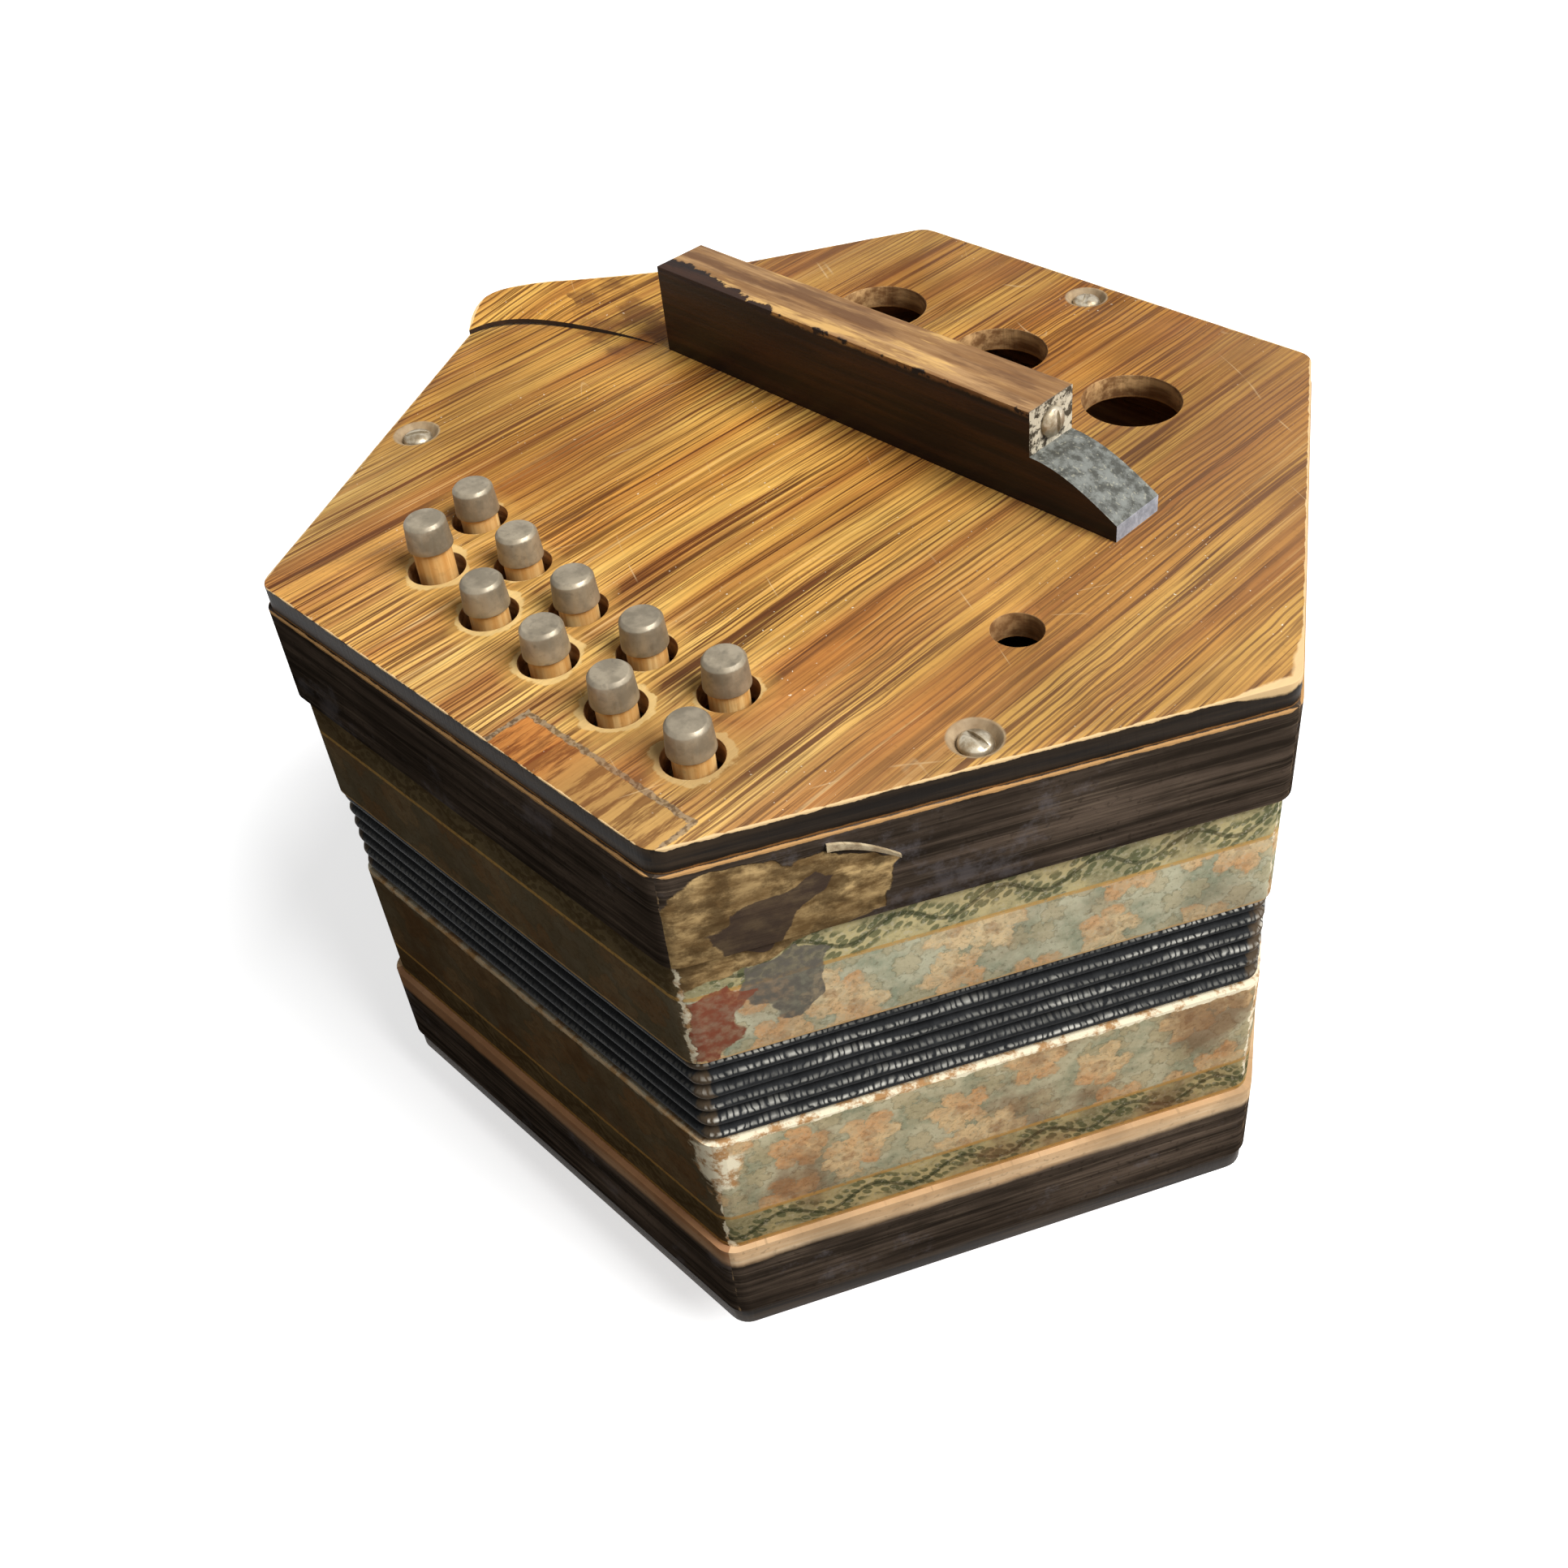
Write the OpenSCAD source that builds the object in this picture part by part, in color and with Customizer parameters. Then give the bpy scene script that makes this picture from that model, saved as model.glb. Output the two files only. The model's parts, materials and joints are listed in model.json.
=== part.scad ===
// Twenty-button Anglo concertina with hexagonal ends, bellows closed.
// It stands upright on the hand rail of its left-hand end.
//
// Frame: millimetres, +Z up. The origin is on the floor under the middle of the body.
// +X runs along the hand rails to their thumb end, -Y is the side of the buttons,
// and +Z points from the left-hand end to the right-hand end.
//
// Everything inside one end is drawn in that end's own frame: z = 0 is the outer face
// of its end plate, and the inside of the instrument is on the -z side.

/* [Body] */
// Width across the flats of each action box
across_flats = 160; // [152:1:176]
// Rounding of the six upright edges
corner_r = 4; // [2:0.5:6]
// Thickness of each end plate
plate_t = 4.5; // [4:0.5:5]
// Height of each action box wall
wall_h = 17.5; // [17.5:0.5:24]
// Thickness of the action box walls and of the bellows frames
wall_t = 9; // [8.5:0.5:10]
// Height of the right-hand end's papered bellows frame
right_frame_h = 22; // [20:0.5:28]
// Height of the left-hand end's papered bellows frame
left_frame_h = 27; // [20:0.5:30]

/* [Bellows] */
// Height of the closed bellows
bellows_h = 20; // [16:1:30]
// Number of folds
fold_count = 6; // [4:1:8]
// Depth of a fold
fold_depth = 12; // [8:1:14]

/* [Keyboard] */
// Distance between neighbouring buttons of a row
button_pitch = 16; // [15.5:0.1:16.5]
// Diameter of the metal button caps at their open end
cap_d = 7.1; // [6.8:0.1:7.3]
// Diameter of the caps at the top, before their rounded edge
cap_top_d = 6.5; // [6.4:0.1:6.6]
// Height of the cap tops above the end plate
cap_rise = 6.5; // [5.5:0.5:8]
// Extra height of the first button of the right-hand outer row, which stands proud
proud_rise = 3; // [0:0.5:4]
// How far a button goes down
button_travel = 3; // [2:0.1:3]
// Diameter of the holes that the buttons stand in
button_hole_d = 9; // [8.5:0.1:9.5]

/* [Hand rails] */
// Length of a rail with its foot
rail_len = 103; // [96:1:110]
// Width of a rail
rail_w = 11; // [10:0.5:14]
// Height of a rail above its end plate
rail_h = 17; // [14:0.5:20]
// Length of the low foot at the thumb end
foot_len = 17; // [14:1:20]

/* [Holes] */
// Diameter of the three sound holes of an end
sound_hole_d = 17.5; // [12:0.5:18]
// Diameter of the air button's hole
air_hole_d = 8; // [7:0.5:9]

/* [Hidden] */
$fn = 32;
ends = ["right", "left"];
button_count = 10;
row_count = 5;

// Body stack
box_h = plate_t + wall_h;
body_h = 2 * box_h + right_frame_h + left_frame_h + bellows_h;
right_face_z = rail_h + body_h;
left_face_z = rail_h;
apothem = across_flats / 2;
plate_inset = 0.5;
frame_inset = 1;
bellows_inset = 1.5;
plate_apothem = apothem - plate_inset;
frame_apothem = apothem - frame_inset;
inner_apothem = apothem - wall_t;
bellows_apothem = apothem - bellows_inset;
mitre_lap = 0.01;
fit_gap = 0.1;

// Action box, depths below the outer face of the end plate
board_top = 17.3;
board_t = 4;
pad_t = 2.95;
lever_w = 3.2;
lever_t = 4;
lever_top = 10;
lever_gap = 0.05;
pivot_depth = lever_top + lever_t / 2;
pivot_y = -10;
pin_r = 1;
pin_play = 0.15;
post_w = 8;
post_top = 8;
post_base = 2.5;
slot_play = 0.5;
spring_r = 1.9;
spring_len = 1.4;
spring_wire = 0.6;
spring_room = spring_len + 0.5;
spring_leg = 9;
spring_start = 1.4;
spring_drop = 0.4;
spring_rise = 0.7;
leather_t = 0.8;
pad_clearance = 0.1;

// Buttons
shaft_r = 3;
cap_h = 5;
cap_wall = 0.45;
cap_bevel = 0.6;
cap_shoulder = 0.5;
seat_gap = 0.28;
notch_play = 0.2;
cheek_end = 3.6;
outer_row_shift = 5;
inner_row_shift = -1;
outer_row_inset = 16.4;
inner_row_inset = 27.5;
outer_row_x = outer_row_shift - 2 * button_pitch;
inner_row_x = inner_row_shift - 2 * button_pitch;
outer_row_front = apothem - outer_row_inset;
inner_row_front = apothem - inner_row_inset;
outer_row_mid = 33;
inner_row_mid = 11;
outer_row_bend_r = 417;
inner_row_bend_r = 161;

// Pads over the holes of the action board
pad_len = 12;
near_pad_w = 10;
far_pad_w = 12;
near_pad_shift = -1.5;
near_pad_inset = 50;
far_pad_inset = 33;
near_pad_y = apothem - near_pad_inset;
far_pad_y = apothem - far_pad_inset;
lever_nose = 4;
lever_tail = pad_len / 2 - 1;
pad_hole = [6, 9];

// Air valve
air_inset = 26;
air_x = apothem - air_inset;
air_hole_y = -15.3;
air_pivot_y = 4;
air_pad_y = 24;
air_pad = [13, 17];
air_valve = [9, 13];
air_nose = 3.5;

// Reed pan
pan_top = 28;
pan_t = 4;
ledge_t = 4;
ledge_w = 5;
cell_wall = 1.6;
cell_end = 7.2;
near_cell_y = [-12, near_pad_y + cell_end];
far_cell_inset = 22;
far_cell_y = [near_cell_y[1] + cell_wall, apothem - far_cell_inset];
cell_margin = 8;
reed_front_gap = 3;
reed_back_gap = 2;
near_reed_from = 12;
reed_shift = 0.5;
reed_clearance = 0.2;
reed_w = 2.6;
window_w = 5;
reed_plate_t = 1.5;
reed_plate_end = 5;
tongue_t = 0.3;

// Screws
screw_angles = [210, 90, -30];
screw_inset = 6;
screw_ring_r = apothem - screw_inset;
screw_r = 1.6;
screw_head_r = 2.6;
screw_head_h = 1.6;
screw_rim_h = 0.4;
dome_steps = 4;
screw_cup_r = 3.8;
screw_sink = 1.4;
screw_len = 36;
screw_play = 0.1;
driver_slot = [0.9, 0.6];
driver_turn = 25;

// Hand rail
rail_shift = 1;
rail_x = rail_shift - rail_len / 2;
rail_y = 11;
foot_h = 9;
foot_tip_h = 3;
foot_steps = 8;
rail_screw_x = [-38, 18];
rail_screw_len = 16;
strap_screw_z = rail_h - 4;
strap_screw_len = 12;
sound_hole_inset = 32.5;
sound_hole_y = apothem - sound_hole_inset;
sound_hole_pitch = 29.5;

wood_gold = "#c68c43";
wood_dark = "#2b1e17";
wood_rail = "#3a261a";
wood_pale = "#d6b98a";
wood_plain = "#b98d5a";
paper_blue = "#8d979c";
bellows_black = "#1d1c1d";
metal_dull = "#8b8a86";
metal_brass = "#b79c5b";
leather_tan = "#9a7650";

function end_nodes(end) = [for (part = ["end_plate", "wall", "rail", "screws", "action_board",
    "lever_post", "reed_pan", "reeds", "frame"]) str(end, "_", part)];
function numbered(end, part) = [for (i = [1:button_count]) str(end, "_", part, "_", i)];

// Buttons 1 to 5 are the outer row, nearest the front, and 6 to 10 the inner row.
function is_outer(i) = i < row_count;
function place_in_row(i) = i % row_count;
function button_x(i) = (is_outer(i) ? outer_row_x : inner_row_x) + button_pitch * place_in_row(i);
function outer_row_y(x) = -outer_row_front + pow(x - outer_row_mid, 2) / (2 * outer_row_bend_r);
function inner_row_y(x) = -inner_row_front + pow(x - inner_row_mid, 2) / (2 * inner_row_bend_r);
function button_y(i) = is_outer(i) ? outer_row_y(button_x(i)) : inner_row_y(button_x(i));
function pad_y(i) = is_outer(i) ? far_pad_y : near_pad_y;
function pad_w(i) = is_outer(i) ? far_pad_w : near_pad_w;
function pad_x(i) = button_x(i) + (is_outer(i) ? 0 : near_pad_shift);
function stands_proud(end, i) = end == "right" && i == 0;
function frame_end(end) = box_h + (end == "right" ? right_frame_h : left_frame_h);
function from_polar(r, angle) = [r * cos(angle), r * sin(angle)];

// Puts a child drawn in an end's own frame onto that end.
module on_end(end) {
    if (end == "right")
        translate([0, 0, right_face_z]) children();
    else
        translate([0, 0, left_face_z]) mirror([0, 0, 1]) children();
}

// A block given by its two opposite corners.
module block(low, high) {
    translate(low) cube(high - low);
}

// A hexagon with a corner on the X axis, given by its half width across the flats.
module hexagon(half_width, rounding) {
    offset(r = rounding)
        circle(r = (half_width - rounding) / cos(30), $fn = 6);
}

// A hexagonal ring between two depths below the end plate's outer face.
module hex_ring(outer, inner, rounding, top, bottom) {
    translate([0, 0, -bottom]) linear_extrude(bottom - top) difference() {
        hexagon(outer, rounding);
        circle(r = inner / cos(30), $fn = 6);
    }
}

// A full hexagonal board between two depths.
module hex_board(half_width, top, thickness) {
    translate([0, 0, -top - thickness]) linear_extrude(thickness)
        circle(r = half_width / cos(30), $fn = 6);
}

// The three upright screw holes of an end.
module end_screw_holes() {
    for (angle = screw_angles)
        translate([each from_polar(screw_ring_r, angle), -screw_sink - screw_len])
            cylinder(r = screw_r + screw_play, h = screw_len + screw_sink + 1);
}

// ---- Casework ----

module end_plate(end) {
    color(wood_gold) on_end(end) difference() {
        translate([0, 0, -plate_t]) linear_extrude(plate_t) hexagon(plate_apothem, corner_r);
        for (i = [0:button_count - 1])
            translate([button_x(i), button_y(i), -plate_t - 1])
                cylinder(d = button_hole_d, h = plate_t + 2);
        for (side = [-1, 0, 1])
            translate([side * sound_hole_pitch, sound_hole_y, -plate_t - 1])
                cylinder(d = sound_hole_d, h = plate_t + 2);
        if (end == "right")
            translate([air_x, air_hole_y, -plate_t - 1]) cylinder(d = air_hole_d, h = plate_t + 2);
        end_screw_holes();
        for (angle = screw_angles)
            translate([each from_polar(screw_ring_r, angle), -screw_sink]) screw_cup();
        for (x = rail_screw_x)
            translate([x, rail_y + rail_w / 2, -plate_t - 1])
                cylinder(r = screw_r + screw_play, h = plate_t + 2);
    }
}

module wall(end) {
    color(wood_dark) on_end(end) difference() {
        hex_ring(apothem, inner_apothem, corner_r, plate_t, box_h);
        end_screw_holes();
    }
}

module frame(end) {
    color(paper_blue) on_end(end) difference() {
        union() {
            hex_ring(frame_apothem, inner_apothem, corner_r, box_h, frame_end(end));
            hex_ring(inner_apothem, inner_apothem - ledge_w, 0.5, pan_top + pan_t, pan_top + pan_t + ledge_t);
        }
        end_screw_holes();
    }
}

// The foot's top falls in a quarter of an ellipse from the notch to the tip.
function foot_top(t) = foot_tip_h + (foot_h - foot_tip_h) * cos(90 * t);
module rail(end) {
    notch_x = rail_x + rail_len - foot_len;
    foot = [for (i = [0:foot_steps]) [notch_x + foot_len * i / foot_steps, foot_top(i / foot_steps)]];
    outline = concat([[rail_x, 0], [rail_x, rail_h], [notch_x, rail_h]], foot, [[rail_x + rail_len, 0]]);
    color(wood_rail) on_end(end) difference() {
        translate([0, rail_y + rail_w, 0]) rotate([90, 0, 0]) linear_extrude(rail_w) polygon(outline);
        for (x = rail_screw_x)
            translate([x, rail_y + rail_w / 2, -1])
                cylinder(r = screw_r + screw_play, h = rail_screw_len - plate_t + 1.5);
        translate([notch_x + 1, rail_y + rail_w / 2, strap_screw_z]) rotate([0, -90, 0])
            cylinder(r = screw_r + screw_play, h = strap_screw_len + 1.5);
    }
}

// The worn conical seat of a screw, cut from its floor at z = 0 up through the face of the plate.
module screw_cup() {
    floor_r = screw_head_r + screw_play;
    cylinder(r1 = floor_r, r2 = 2 * screw_cup_r - floor_r, h = 2 * screw_sink);
}

// A slotted round-head screw: its seat is at z = 0, its domed head above it and its shank below.
module slotted_screw(length) {
    dome = [for (k = [0:dome_steps])
        [screw_head_r * cos(90 * k / dome_steps),
            screw_rim_h + (screw_head_h - screw_rim_h) * sin(90 * k / dome_steps)]];
    difference() {
        union() {
            rotate_extrude() polygon(concat([[0, 0], [screw_head_r, 0]], dome));
            translate([0, 0, -length]) cylinder(r = screw_r, h = length);
        }
        translate([-screw_head_r - 1, -driver_slot[0] / 2, screw_head_h - driver_slot[1]])
            cube([2 * screw_head_r + 2, driver_slot[0], 1]);
    }
}

module screws(end) {
    notch_x = rail_x + rail_len - foot_len;
    color(metal_dull) on_end(end) {
        for (angle = screw_angles)
            translate([each from_polar(screw_ring_r, angle), -screw_sink])
                rotate([0, 0, angle + driver_turn]) slotted_screw(screw_len - 1);
        for (x = rail_screw_x)
            translate([x, rail_y + rail_w / 2, -plate_t]) rotate([180, 0, 0])
                slotted_screw(rail_screw_len);
        translate([notch_x, rail_y + rail_w / 2, strap_screw_z]) rotate([0, 90, 0])
            slotted_screw(strap_screw_len);
    }
}

// ---- Bellows ----

// One side's folds in section: a zigzag sheet of constant upright thickness with a flat card at
// each end. x runs outward from the middle of the instrument and y runs up.
module fold_section() {
    sheet_t = 0.9;
    card_t = 0.8;
    step = (bellows_h - sheet_t) / (2 * fold_count);
    ridge = bellows_apothem;
    valley = ridge - fold_depth;
    groove = ridge - fold_depth * (1 - sheet_t / (2 * step));
    inner_groove = ridge - fold_depth * sheet_t / (2 * step);
    card_meet = ridge - fold_depth * card_t / step;
    outside = [for (k = [0:fold_count - 1]) each [[ridge, 2 * k * step], [ridge, 2 * k * step + sheet_t],
        [groove, (2 * k + 1) * step + sheet_t / 2]]];
    inside = [for (k = [fold_count - 1:-1:0]) each concat(
        [[valley, (2 * k + 1) * step + sheet_t], [valley, (2 * k + 1) * step]],
        k > 0 ? [[inner_groove, 2 * k * step + sheet_t / 2]] : [])];
    top_card = [[ridge, bellows_h - sheet_t], [ridge, bellows_h], [valley, bellows_h],
        [valley, bellows_h - card_t], [card_meet, bellows_h - card_t]];
    bottom_card = [[card_meet, card_t], [valley, card_t], [valley, 0]];
    polygon(concat(outside, top_card, inside, bottom_card));
}

// One side of the bellows, mitred to its neighbours.
module bellows_side() {
    reach = bellows_apothem + 1;
    half_w = reach * tan(30);
    intersection() {
        rotate([90, 0, 0]) linear_extrude(2 * reach, center = true) fold_section();
        translate([0, 0, -1]) linear_extrude(bellows_h + 2)
            polygon([[-mitre_lap, 0], [reach, -half_w - mitre_lap], [reach, half_w + mitre_lap]]);
    }
}

module bellows() {
    color(bellows_black) translate([0, 0, left_face_z + frame_end("left")])
        for (side = [0:5])
            rotate([0, 0, 30 + 60 * side]) bellows_side();
}

// ---- Action ----

module action_board(end) {
    color(wood_plain) on_end(end) difference() {
        hex_board(inner_apothem - fit_gap, board_top, board_t);
        for (i = [0:button_count - 1])
            translate([pad_x(i) - pad_hole[0] / 2, pad_y(i) - pad_hole[1] / 2, -board_top - board_t - 1])
                cube([each pad_hole, board_t + 2]);
        if (end == "right")
            translate([air_x - air_valve[0] / 2, air_pad_y - air_valve[1] / 2, -board_top - board_t - 1])
                cube([each air_valve, board_t + 2]);
    }
}

// A post with a slot for each pair of levers and the wire that they turn on.
// Left and right of a pair, the comb's teeth carry the wire.
module comb_post(x_from, x_to, y, slots) {
    difference() {
        block([x_from, y - post_w / 2, -board_top], [x_to, y + post_w / 2, -post_top]);
        for (slot = slots)
            block([slot[0], y - post_w, -board_top + post_base], [slot[1], y + post_w, 0]);
        translate([x_from - 1, y, -pivot_depth]) rotate([0, 90, 0])
            cylinder(r = pin_r + lever_gap, h = x_to - x_from + 2);
    }
    translate([x_from, y, -pivot_depth]) rotate([0, 90, 0]) cylinder(r = pin_r, h = x_to - x_from);
}

module lever_post(end) {
    tooth = post_w / 2;
    pair_slots = [for (i = [0:row_count - 1])
        let (inner_x = inner_row_x + button_pitch * i, outer_x = outer_row_x + button_pitch * i)
        [inner_x - lever_w / 2 - slot_play, outer_x + lever_w / 2 + spring_room]];
    air_slot = [air_x - lever_w / 2 - slot_play, air_x + lever_w / 2 + spring_room];
    color(wood_pale) on_end(end) {
        comb_post(pair_slots[0][0] - tooth, pair_slots[row_count - 1][1] + tooth, pivot_y, pair_slots);
        if (end == "right")
            comb_post(air_slot[0] - tooth, air_slot[1] + tooth, air_pivot_y, [air_slot]);
    }
}

// A lever with its coil spring and its pad. The bar lies along Y, over the pivot wire,
// from the button's end to the pad's end.
module lever_bar(x, button_end, pivot, pad_end) {
    difference() {
        block([x - lever_w / 2, button_end, -lever_top - lever_t], [x + lever_w / 2, pad_end, -lever_top]);
        translate([x - lever_w, pivot, -pivot_depth]) rotate([0, 90, 0])
            cylinder(r = pin_r + pin_play, h = 2 * lever_w);
    }
}

// A coil on the pivot wire with a leg that runs back and lies on the lever.
module lever_spring(x, pivot) {
    coil_x = x + lever_w / 2 + lever_gap;
    difference() {
        translate([coil_x, pivot, -pivot_depth]) rotate([0, 90, 0]) cylinder(r = spring_r, h = spring_len);
        translate([coil_x - 1, pivot, -pivot_depth]) rotate([0, 90, 0])
            cylinder(r = pin_r + pin_play, h = spring_len + 2);
    }
    block([coil_x, pivot + spring_start, -pivot_depth + spring_drop],
        [coil_x + spring_wire, pivot + spring_leg, -lever_top + spring_rise]);
    block([x - spring_wire, pivot + spring_leg, -lever_top + lever_gap],
        [coil_x + spring_wire, pivot + spring_leg + spring_wire, -lever_top + spring_rise]);
}

// A pad of wood faced with leather, which rests on the action board.
module pad(x, y, width, length) {
    wood_h = pad_t - leather_t;
    top = -lever_top - lever_t - lever_gap;
    color(wood_pale)
        block([x - width / 2, y - length / 2, top - wood_h], [x + width / 2, y + length / 2, top]);
    color(leather_tan)
        block([x - width / 2, y - length / 2, -board_top + pad_clearance],
            [x + width / 2, y + length / 2, top - wood_h - lever_gap]);
}

module button_lever(end, i) {
    on_end(end) {
        color(wood_plain)
            lever_bar(button_x(i), button_y(i) - lever_nose, pivot_y, pad_y(i) + lever_tail);
        color(metal_dull) lever_spring(button_x(i), pivot_y);
        pad(pad_x(i), pad_y(i), pad_w(i), pad_len);
    }
}

module air_lever() {
    on_end("right") {
        color(wood_plain) lever_bar(air_x, air_hole_y - air_nose, air_pivot_y, air_pad_y + lever_tail);
        color(metal_dull) lever_spring(air_x, air_pivot_y);
        pad(air_x, air_pad_y, air_pad[0], air_pad[1]);
    }
}

// A wooden shaft that straddles its lever, under a pressed metal cap.
module button(end, i) {
    top = cap_rise + (stands_proud(end, i) ? proud_rise : 0);
    shaft_top = top - cap_wall;
    shaft_end = -lever_top - cheek_end;
    slot_w = lever_w + 2 * notch_play;
    on_end(end) translate([button_x(i), button_y(i), 0]) {
        color(wood_pale) difference() {
            translate([0, 0, shaft_end]) cylinder(r = shaft_r, h = shaft_top - shaft_end);
            block([-slot_w / 2, -shaft_r - 1, shaft_end - 1], [slot_w / 2, shaft_r + 1, -lever_top + seat_gap]);
        }
        color(metal_dull) difference() {
            translate([0, 0, top - cap_h]) {
                cylinder(d1 = cap_d, d2 = cap_top_d, h = cap_h - cap_bevel);
                translate([0, 0, cap_h - cap_bevel])
                    cylinder(d1 = cap_top_d, d2 = cap_top_d - 2 * cap_shoulder, h = cap_bevel);
            }
            translate([0, 0, top - cap_h - 1]) cylinder(r = shaft_r + lever_gap, h = cap_h - cap_wall + 1 + 0.01);
        }
    }
}

// ---- Reeds ----

function cell_x(i) = pad_x(i);
function cell_y(i) = is_outer(i) ? far_cell_y : near_cell_y;
function reed_y(i) = is_outer(i)
    ? [far_cell_y[0] + reed_front_gap, far_cell_y[1] - reed_back_gap]
    : [near_cell_y[0] + near_reed_from, near_cell_y[1] - reed_front_gap];
function reed_x(i) = cell_x(i) + reed_shift;

// The pan's board with its walls, which part the ten cells, and a window in each cell.
module reed_pan(end) {
    row_from = inner_row_x + near_pad_shift - button_pitch / 2;
    row_to = row_from + row_count * button_pitch + cell_margin;
    color(wood_plain) on_end(end) difference() {
        union() {
            hex_board(inner_apothem - fit_gap, pan_top, pan_t);
            for (y = [near_cell_y[0], near_cell_y[1], far_cell_y[1]])
                block([row_from, y, -pan_top], [row_to, y + cell_wall, -board_top - board_t]);
            for (i = [0:row_count]) {
                near_x = row_from + button_pitch * i;
                far_x = near_x + outer_row_x - inner_row_x - near_pad_shift;
                block([near_x, near_cell_y[0], -pan_top],
                    [near_x + cell_wall, near_cell_y[1] + cell_wall, -board_top - board_t]);
                block([min(far_x, row_to - cell_wall), near_cell_y[1], -pan_top],
                    [min(far_x + cell_wall, row_to), far_cell_y[1] + cell_wall, -board_top - board_t]);
            }
        }
        for (i = [0:button_count - 1])
            block([reed_x(i) - window_w / 2, reed_y(i)[0], -pan_top - pan_t - 1],
                [reed_x(i) + window_w / 2, reed_y(i)[1], -pan_top + 1]);
        if (end == "right")
            block([air_x - air_valve[0] / 2, air_pad_y - air_valve[1] / 2, -pan_top - pan_t - 1],
                [air_x + air_valve[0] / 2, air_pad_y + air_valve[1] / 2, -pan_top + 1]);
    }
}

// Two long reed plates, one for each row, with a slot and a steel tongue for each button.
module reeds(end) {
    depth = pan_top + pan_t;
    slot_w = reed_w + 2 * reed_clearance;
    on_end(end) {
        for (row = [0, 1]) {
            first = row * row_count;
            last = first + row_count - 1;
            ys = reed_y(first);
            color(metal_brass) difference() {
                block([cell_x(first) - reed_plate_end, ys[0] - reed_front_gap, -depth - reed_plate_t],
                    [cell_x(last) + reed_plate_end, ys[1] + reed_back_gap, -depth]);
                for (i = [first:last])
                    block([reed_x(i) - slot_w / 2, ys[0] + reed_back_gap, -depth - reed_plate_t - 1],
                        [reed_x(i) + slot_w / 2, ys[1] - 1, -depth + 1]);
            }
            for (i = [first:last])
                color(metal_dull)
                    block([reed_x(i) - reed_w / 2, ys[0] - 1, -depth - reed_plate_t - tongue_t],
                        [reed_x(i) + reed_w / 2, ys[1] - 1.5, -depth - reed_plate_t]);
        }
    }
}

end_plate("right");  // right_end_plate
wall("right");  // right_wall
rail("right");  // right_rail
screws("right");  // right_screws
action_board("right");  // right_action_board
lever_post("right");  // right_lever_post
reed_pan("right");  // right_reed_pan
reeds("right");  // right_reeds
frame("right");  // right_frame
bellows();
air_lever();
end_plate("left");  // left_end_plate
wall("left");  // left_wall
rail("left");  // left_rail
screws("left");  // left_screws
action_board("left");  // left_action_board
lever_post("left");  // left_lever_post
reed_pan("left");  // left_reed_pan
reeds("left");  // left_reeds
frame("left");  // left_frame
for (end = ends, i = [0:button_count - 1])
    button(end, i);
for (end = ends, i = [0:button_count - 1])
    button_lever(end, i);
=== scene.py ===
# %% [markdown]
# # Dressing a hexagonal button concertina
# The instrument is a small squeezebox: two hexagonal action boxes of dark stained wood with striped
# veneer on their outer faces, two frames covered with printed paper, and folded bellows between them.
# The measured solids already exist. They come in first as a fixed frame, in metres, with +Z up through
# both ends, +X along the hand rails and -Y towards the buttons. This file dresses that frame.
# It shows three things: surfaces worked out as whole numpy arrays, finishes built from a few shared
# node groups, and old wear that is placed by measured distances from edges, holes and corners.

# %% Bring in the frame
import json
import math

import bmesh
import bpy
import numpy as np
from mathutils import Matrix, Vector

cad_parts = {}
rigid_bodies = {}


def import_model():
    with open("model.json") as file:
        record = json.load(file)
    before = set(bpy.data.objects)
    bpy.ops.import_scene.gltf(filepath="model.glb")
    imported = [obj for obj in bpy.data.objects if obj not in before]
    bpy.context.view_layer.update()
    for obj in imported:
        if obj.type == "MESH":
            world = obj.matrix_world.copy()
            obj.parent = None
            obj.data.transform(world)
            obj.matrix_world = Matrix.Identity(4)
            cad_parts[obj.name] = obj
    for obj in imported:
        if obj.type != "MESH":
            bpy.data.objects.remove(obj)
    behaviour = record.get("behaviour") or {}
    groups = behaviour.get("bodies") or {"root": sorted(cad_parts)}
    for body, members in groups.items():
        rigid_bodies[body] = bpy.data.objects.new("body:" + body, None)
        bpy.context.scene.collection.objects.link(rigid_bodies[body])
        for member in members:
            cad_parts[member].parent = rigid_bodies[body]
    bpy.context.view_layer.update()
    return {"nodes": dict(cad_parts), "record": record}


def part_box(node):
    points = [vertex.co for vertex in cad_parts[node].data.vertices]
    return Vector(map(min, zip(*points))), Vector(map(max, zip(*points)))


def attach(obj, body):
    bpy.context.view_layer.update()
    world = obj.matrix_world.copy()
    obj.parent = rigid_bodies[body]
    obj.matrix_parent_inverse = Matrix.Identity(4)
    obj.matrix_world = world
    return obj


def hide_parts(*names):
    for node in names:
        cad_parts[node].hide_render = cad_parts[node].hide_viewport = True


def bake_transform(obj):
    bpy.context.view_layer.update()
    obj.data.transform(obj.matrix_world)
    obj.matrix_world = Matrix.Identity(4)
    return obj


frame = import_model()
MM = 0.001
bodies = frame["record"]["behaviour"]["bodies"]
body_holding = {node: body for body, nodes in bodies.items() for node in nodes}

# %% [markdown]
# ## Driving sizes
# Faces, rims and joints are placed from the frame's own boxes, so a change of size in the solids is
# followed here without retyping it. A box says nothing of what lies inside it, such as a curved row of
# holes, a lever's wire, the rounding of an edge or the width of a printed border. Those are named values.

# %% Sizes read from the frame
def corners_of(node):
    """The low and the high corner of a node's box, in metres."""
    return [Vector(corner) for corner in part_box(node)]


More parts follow.
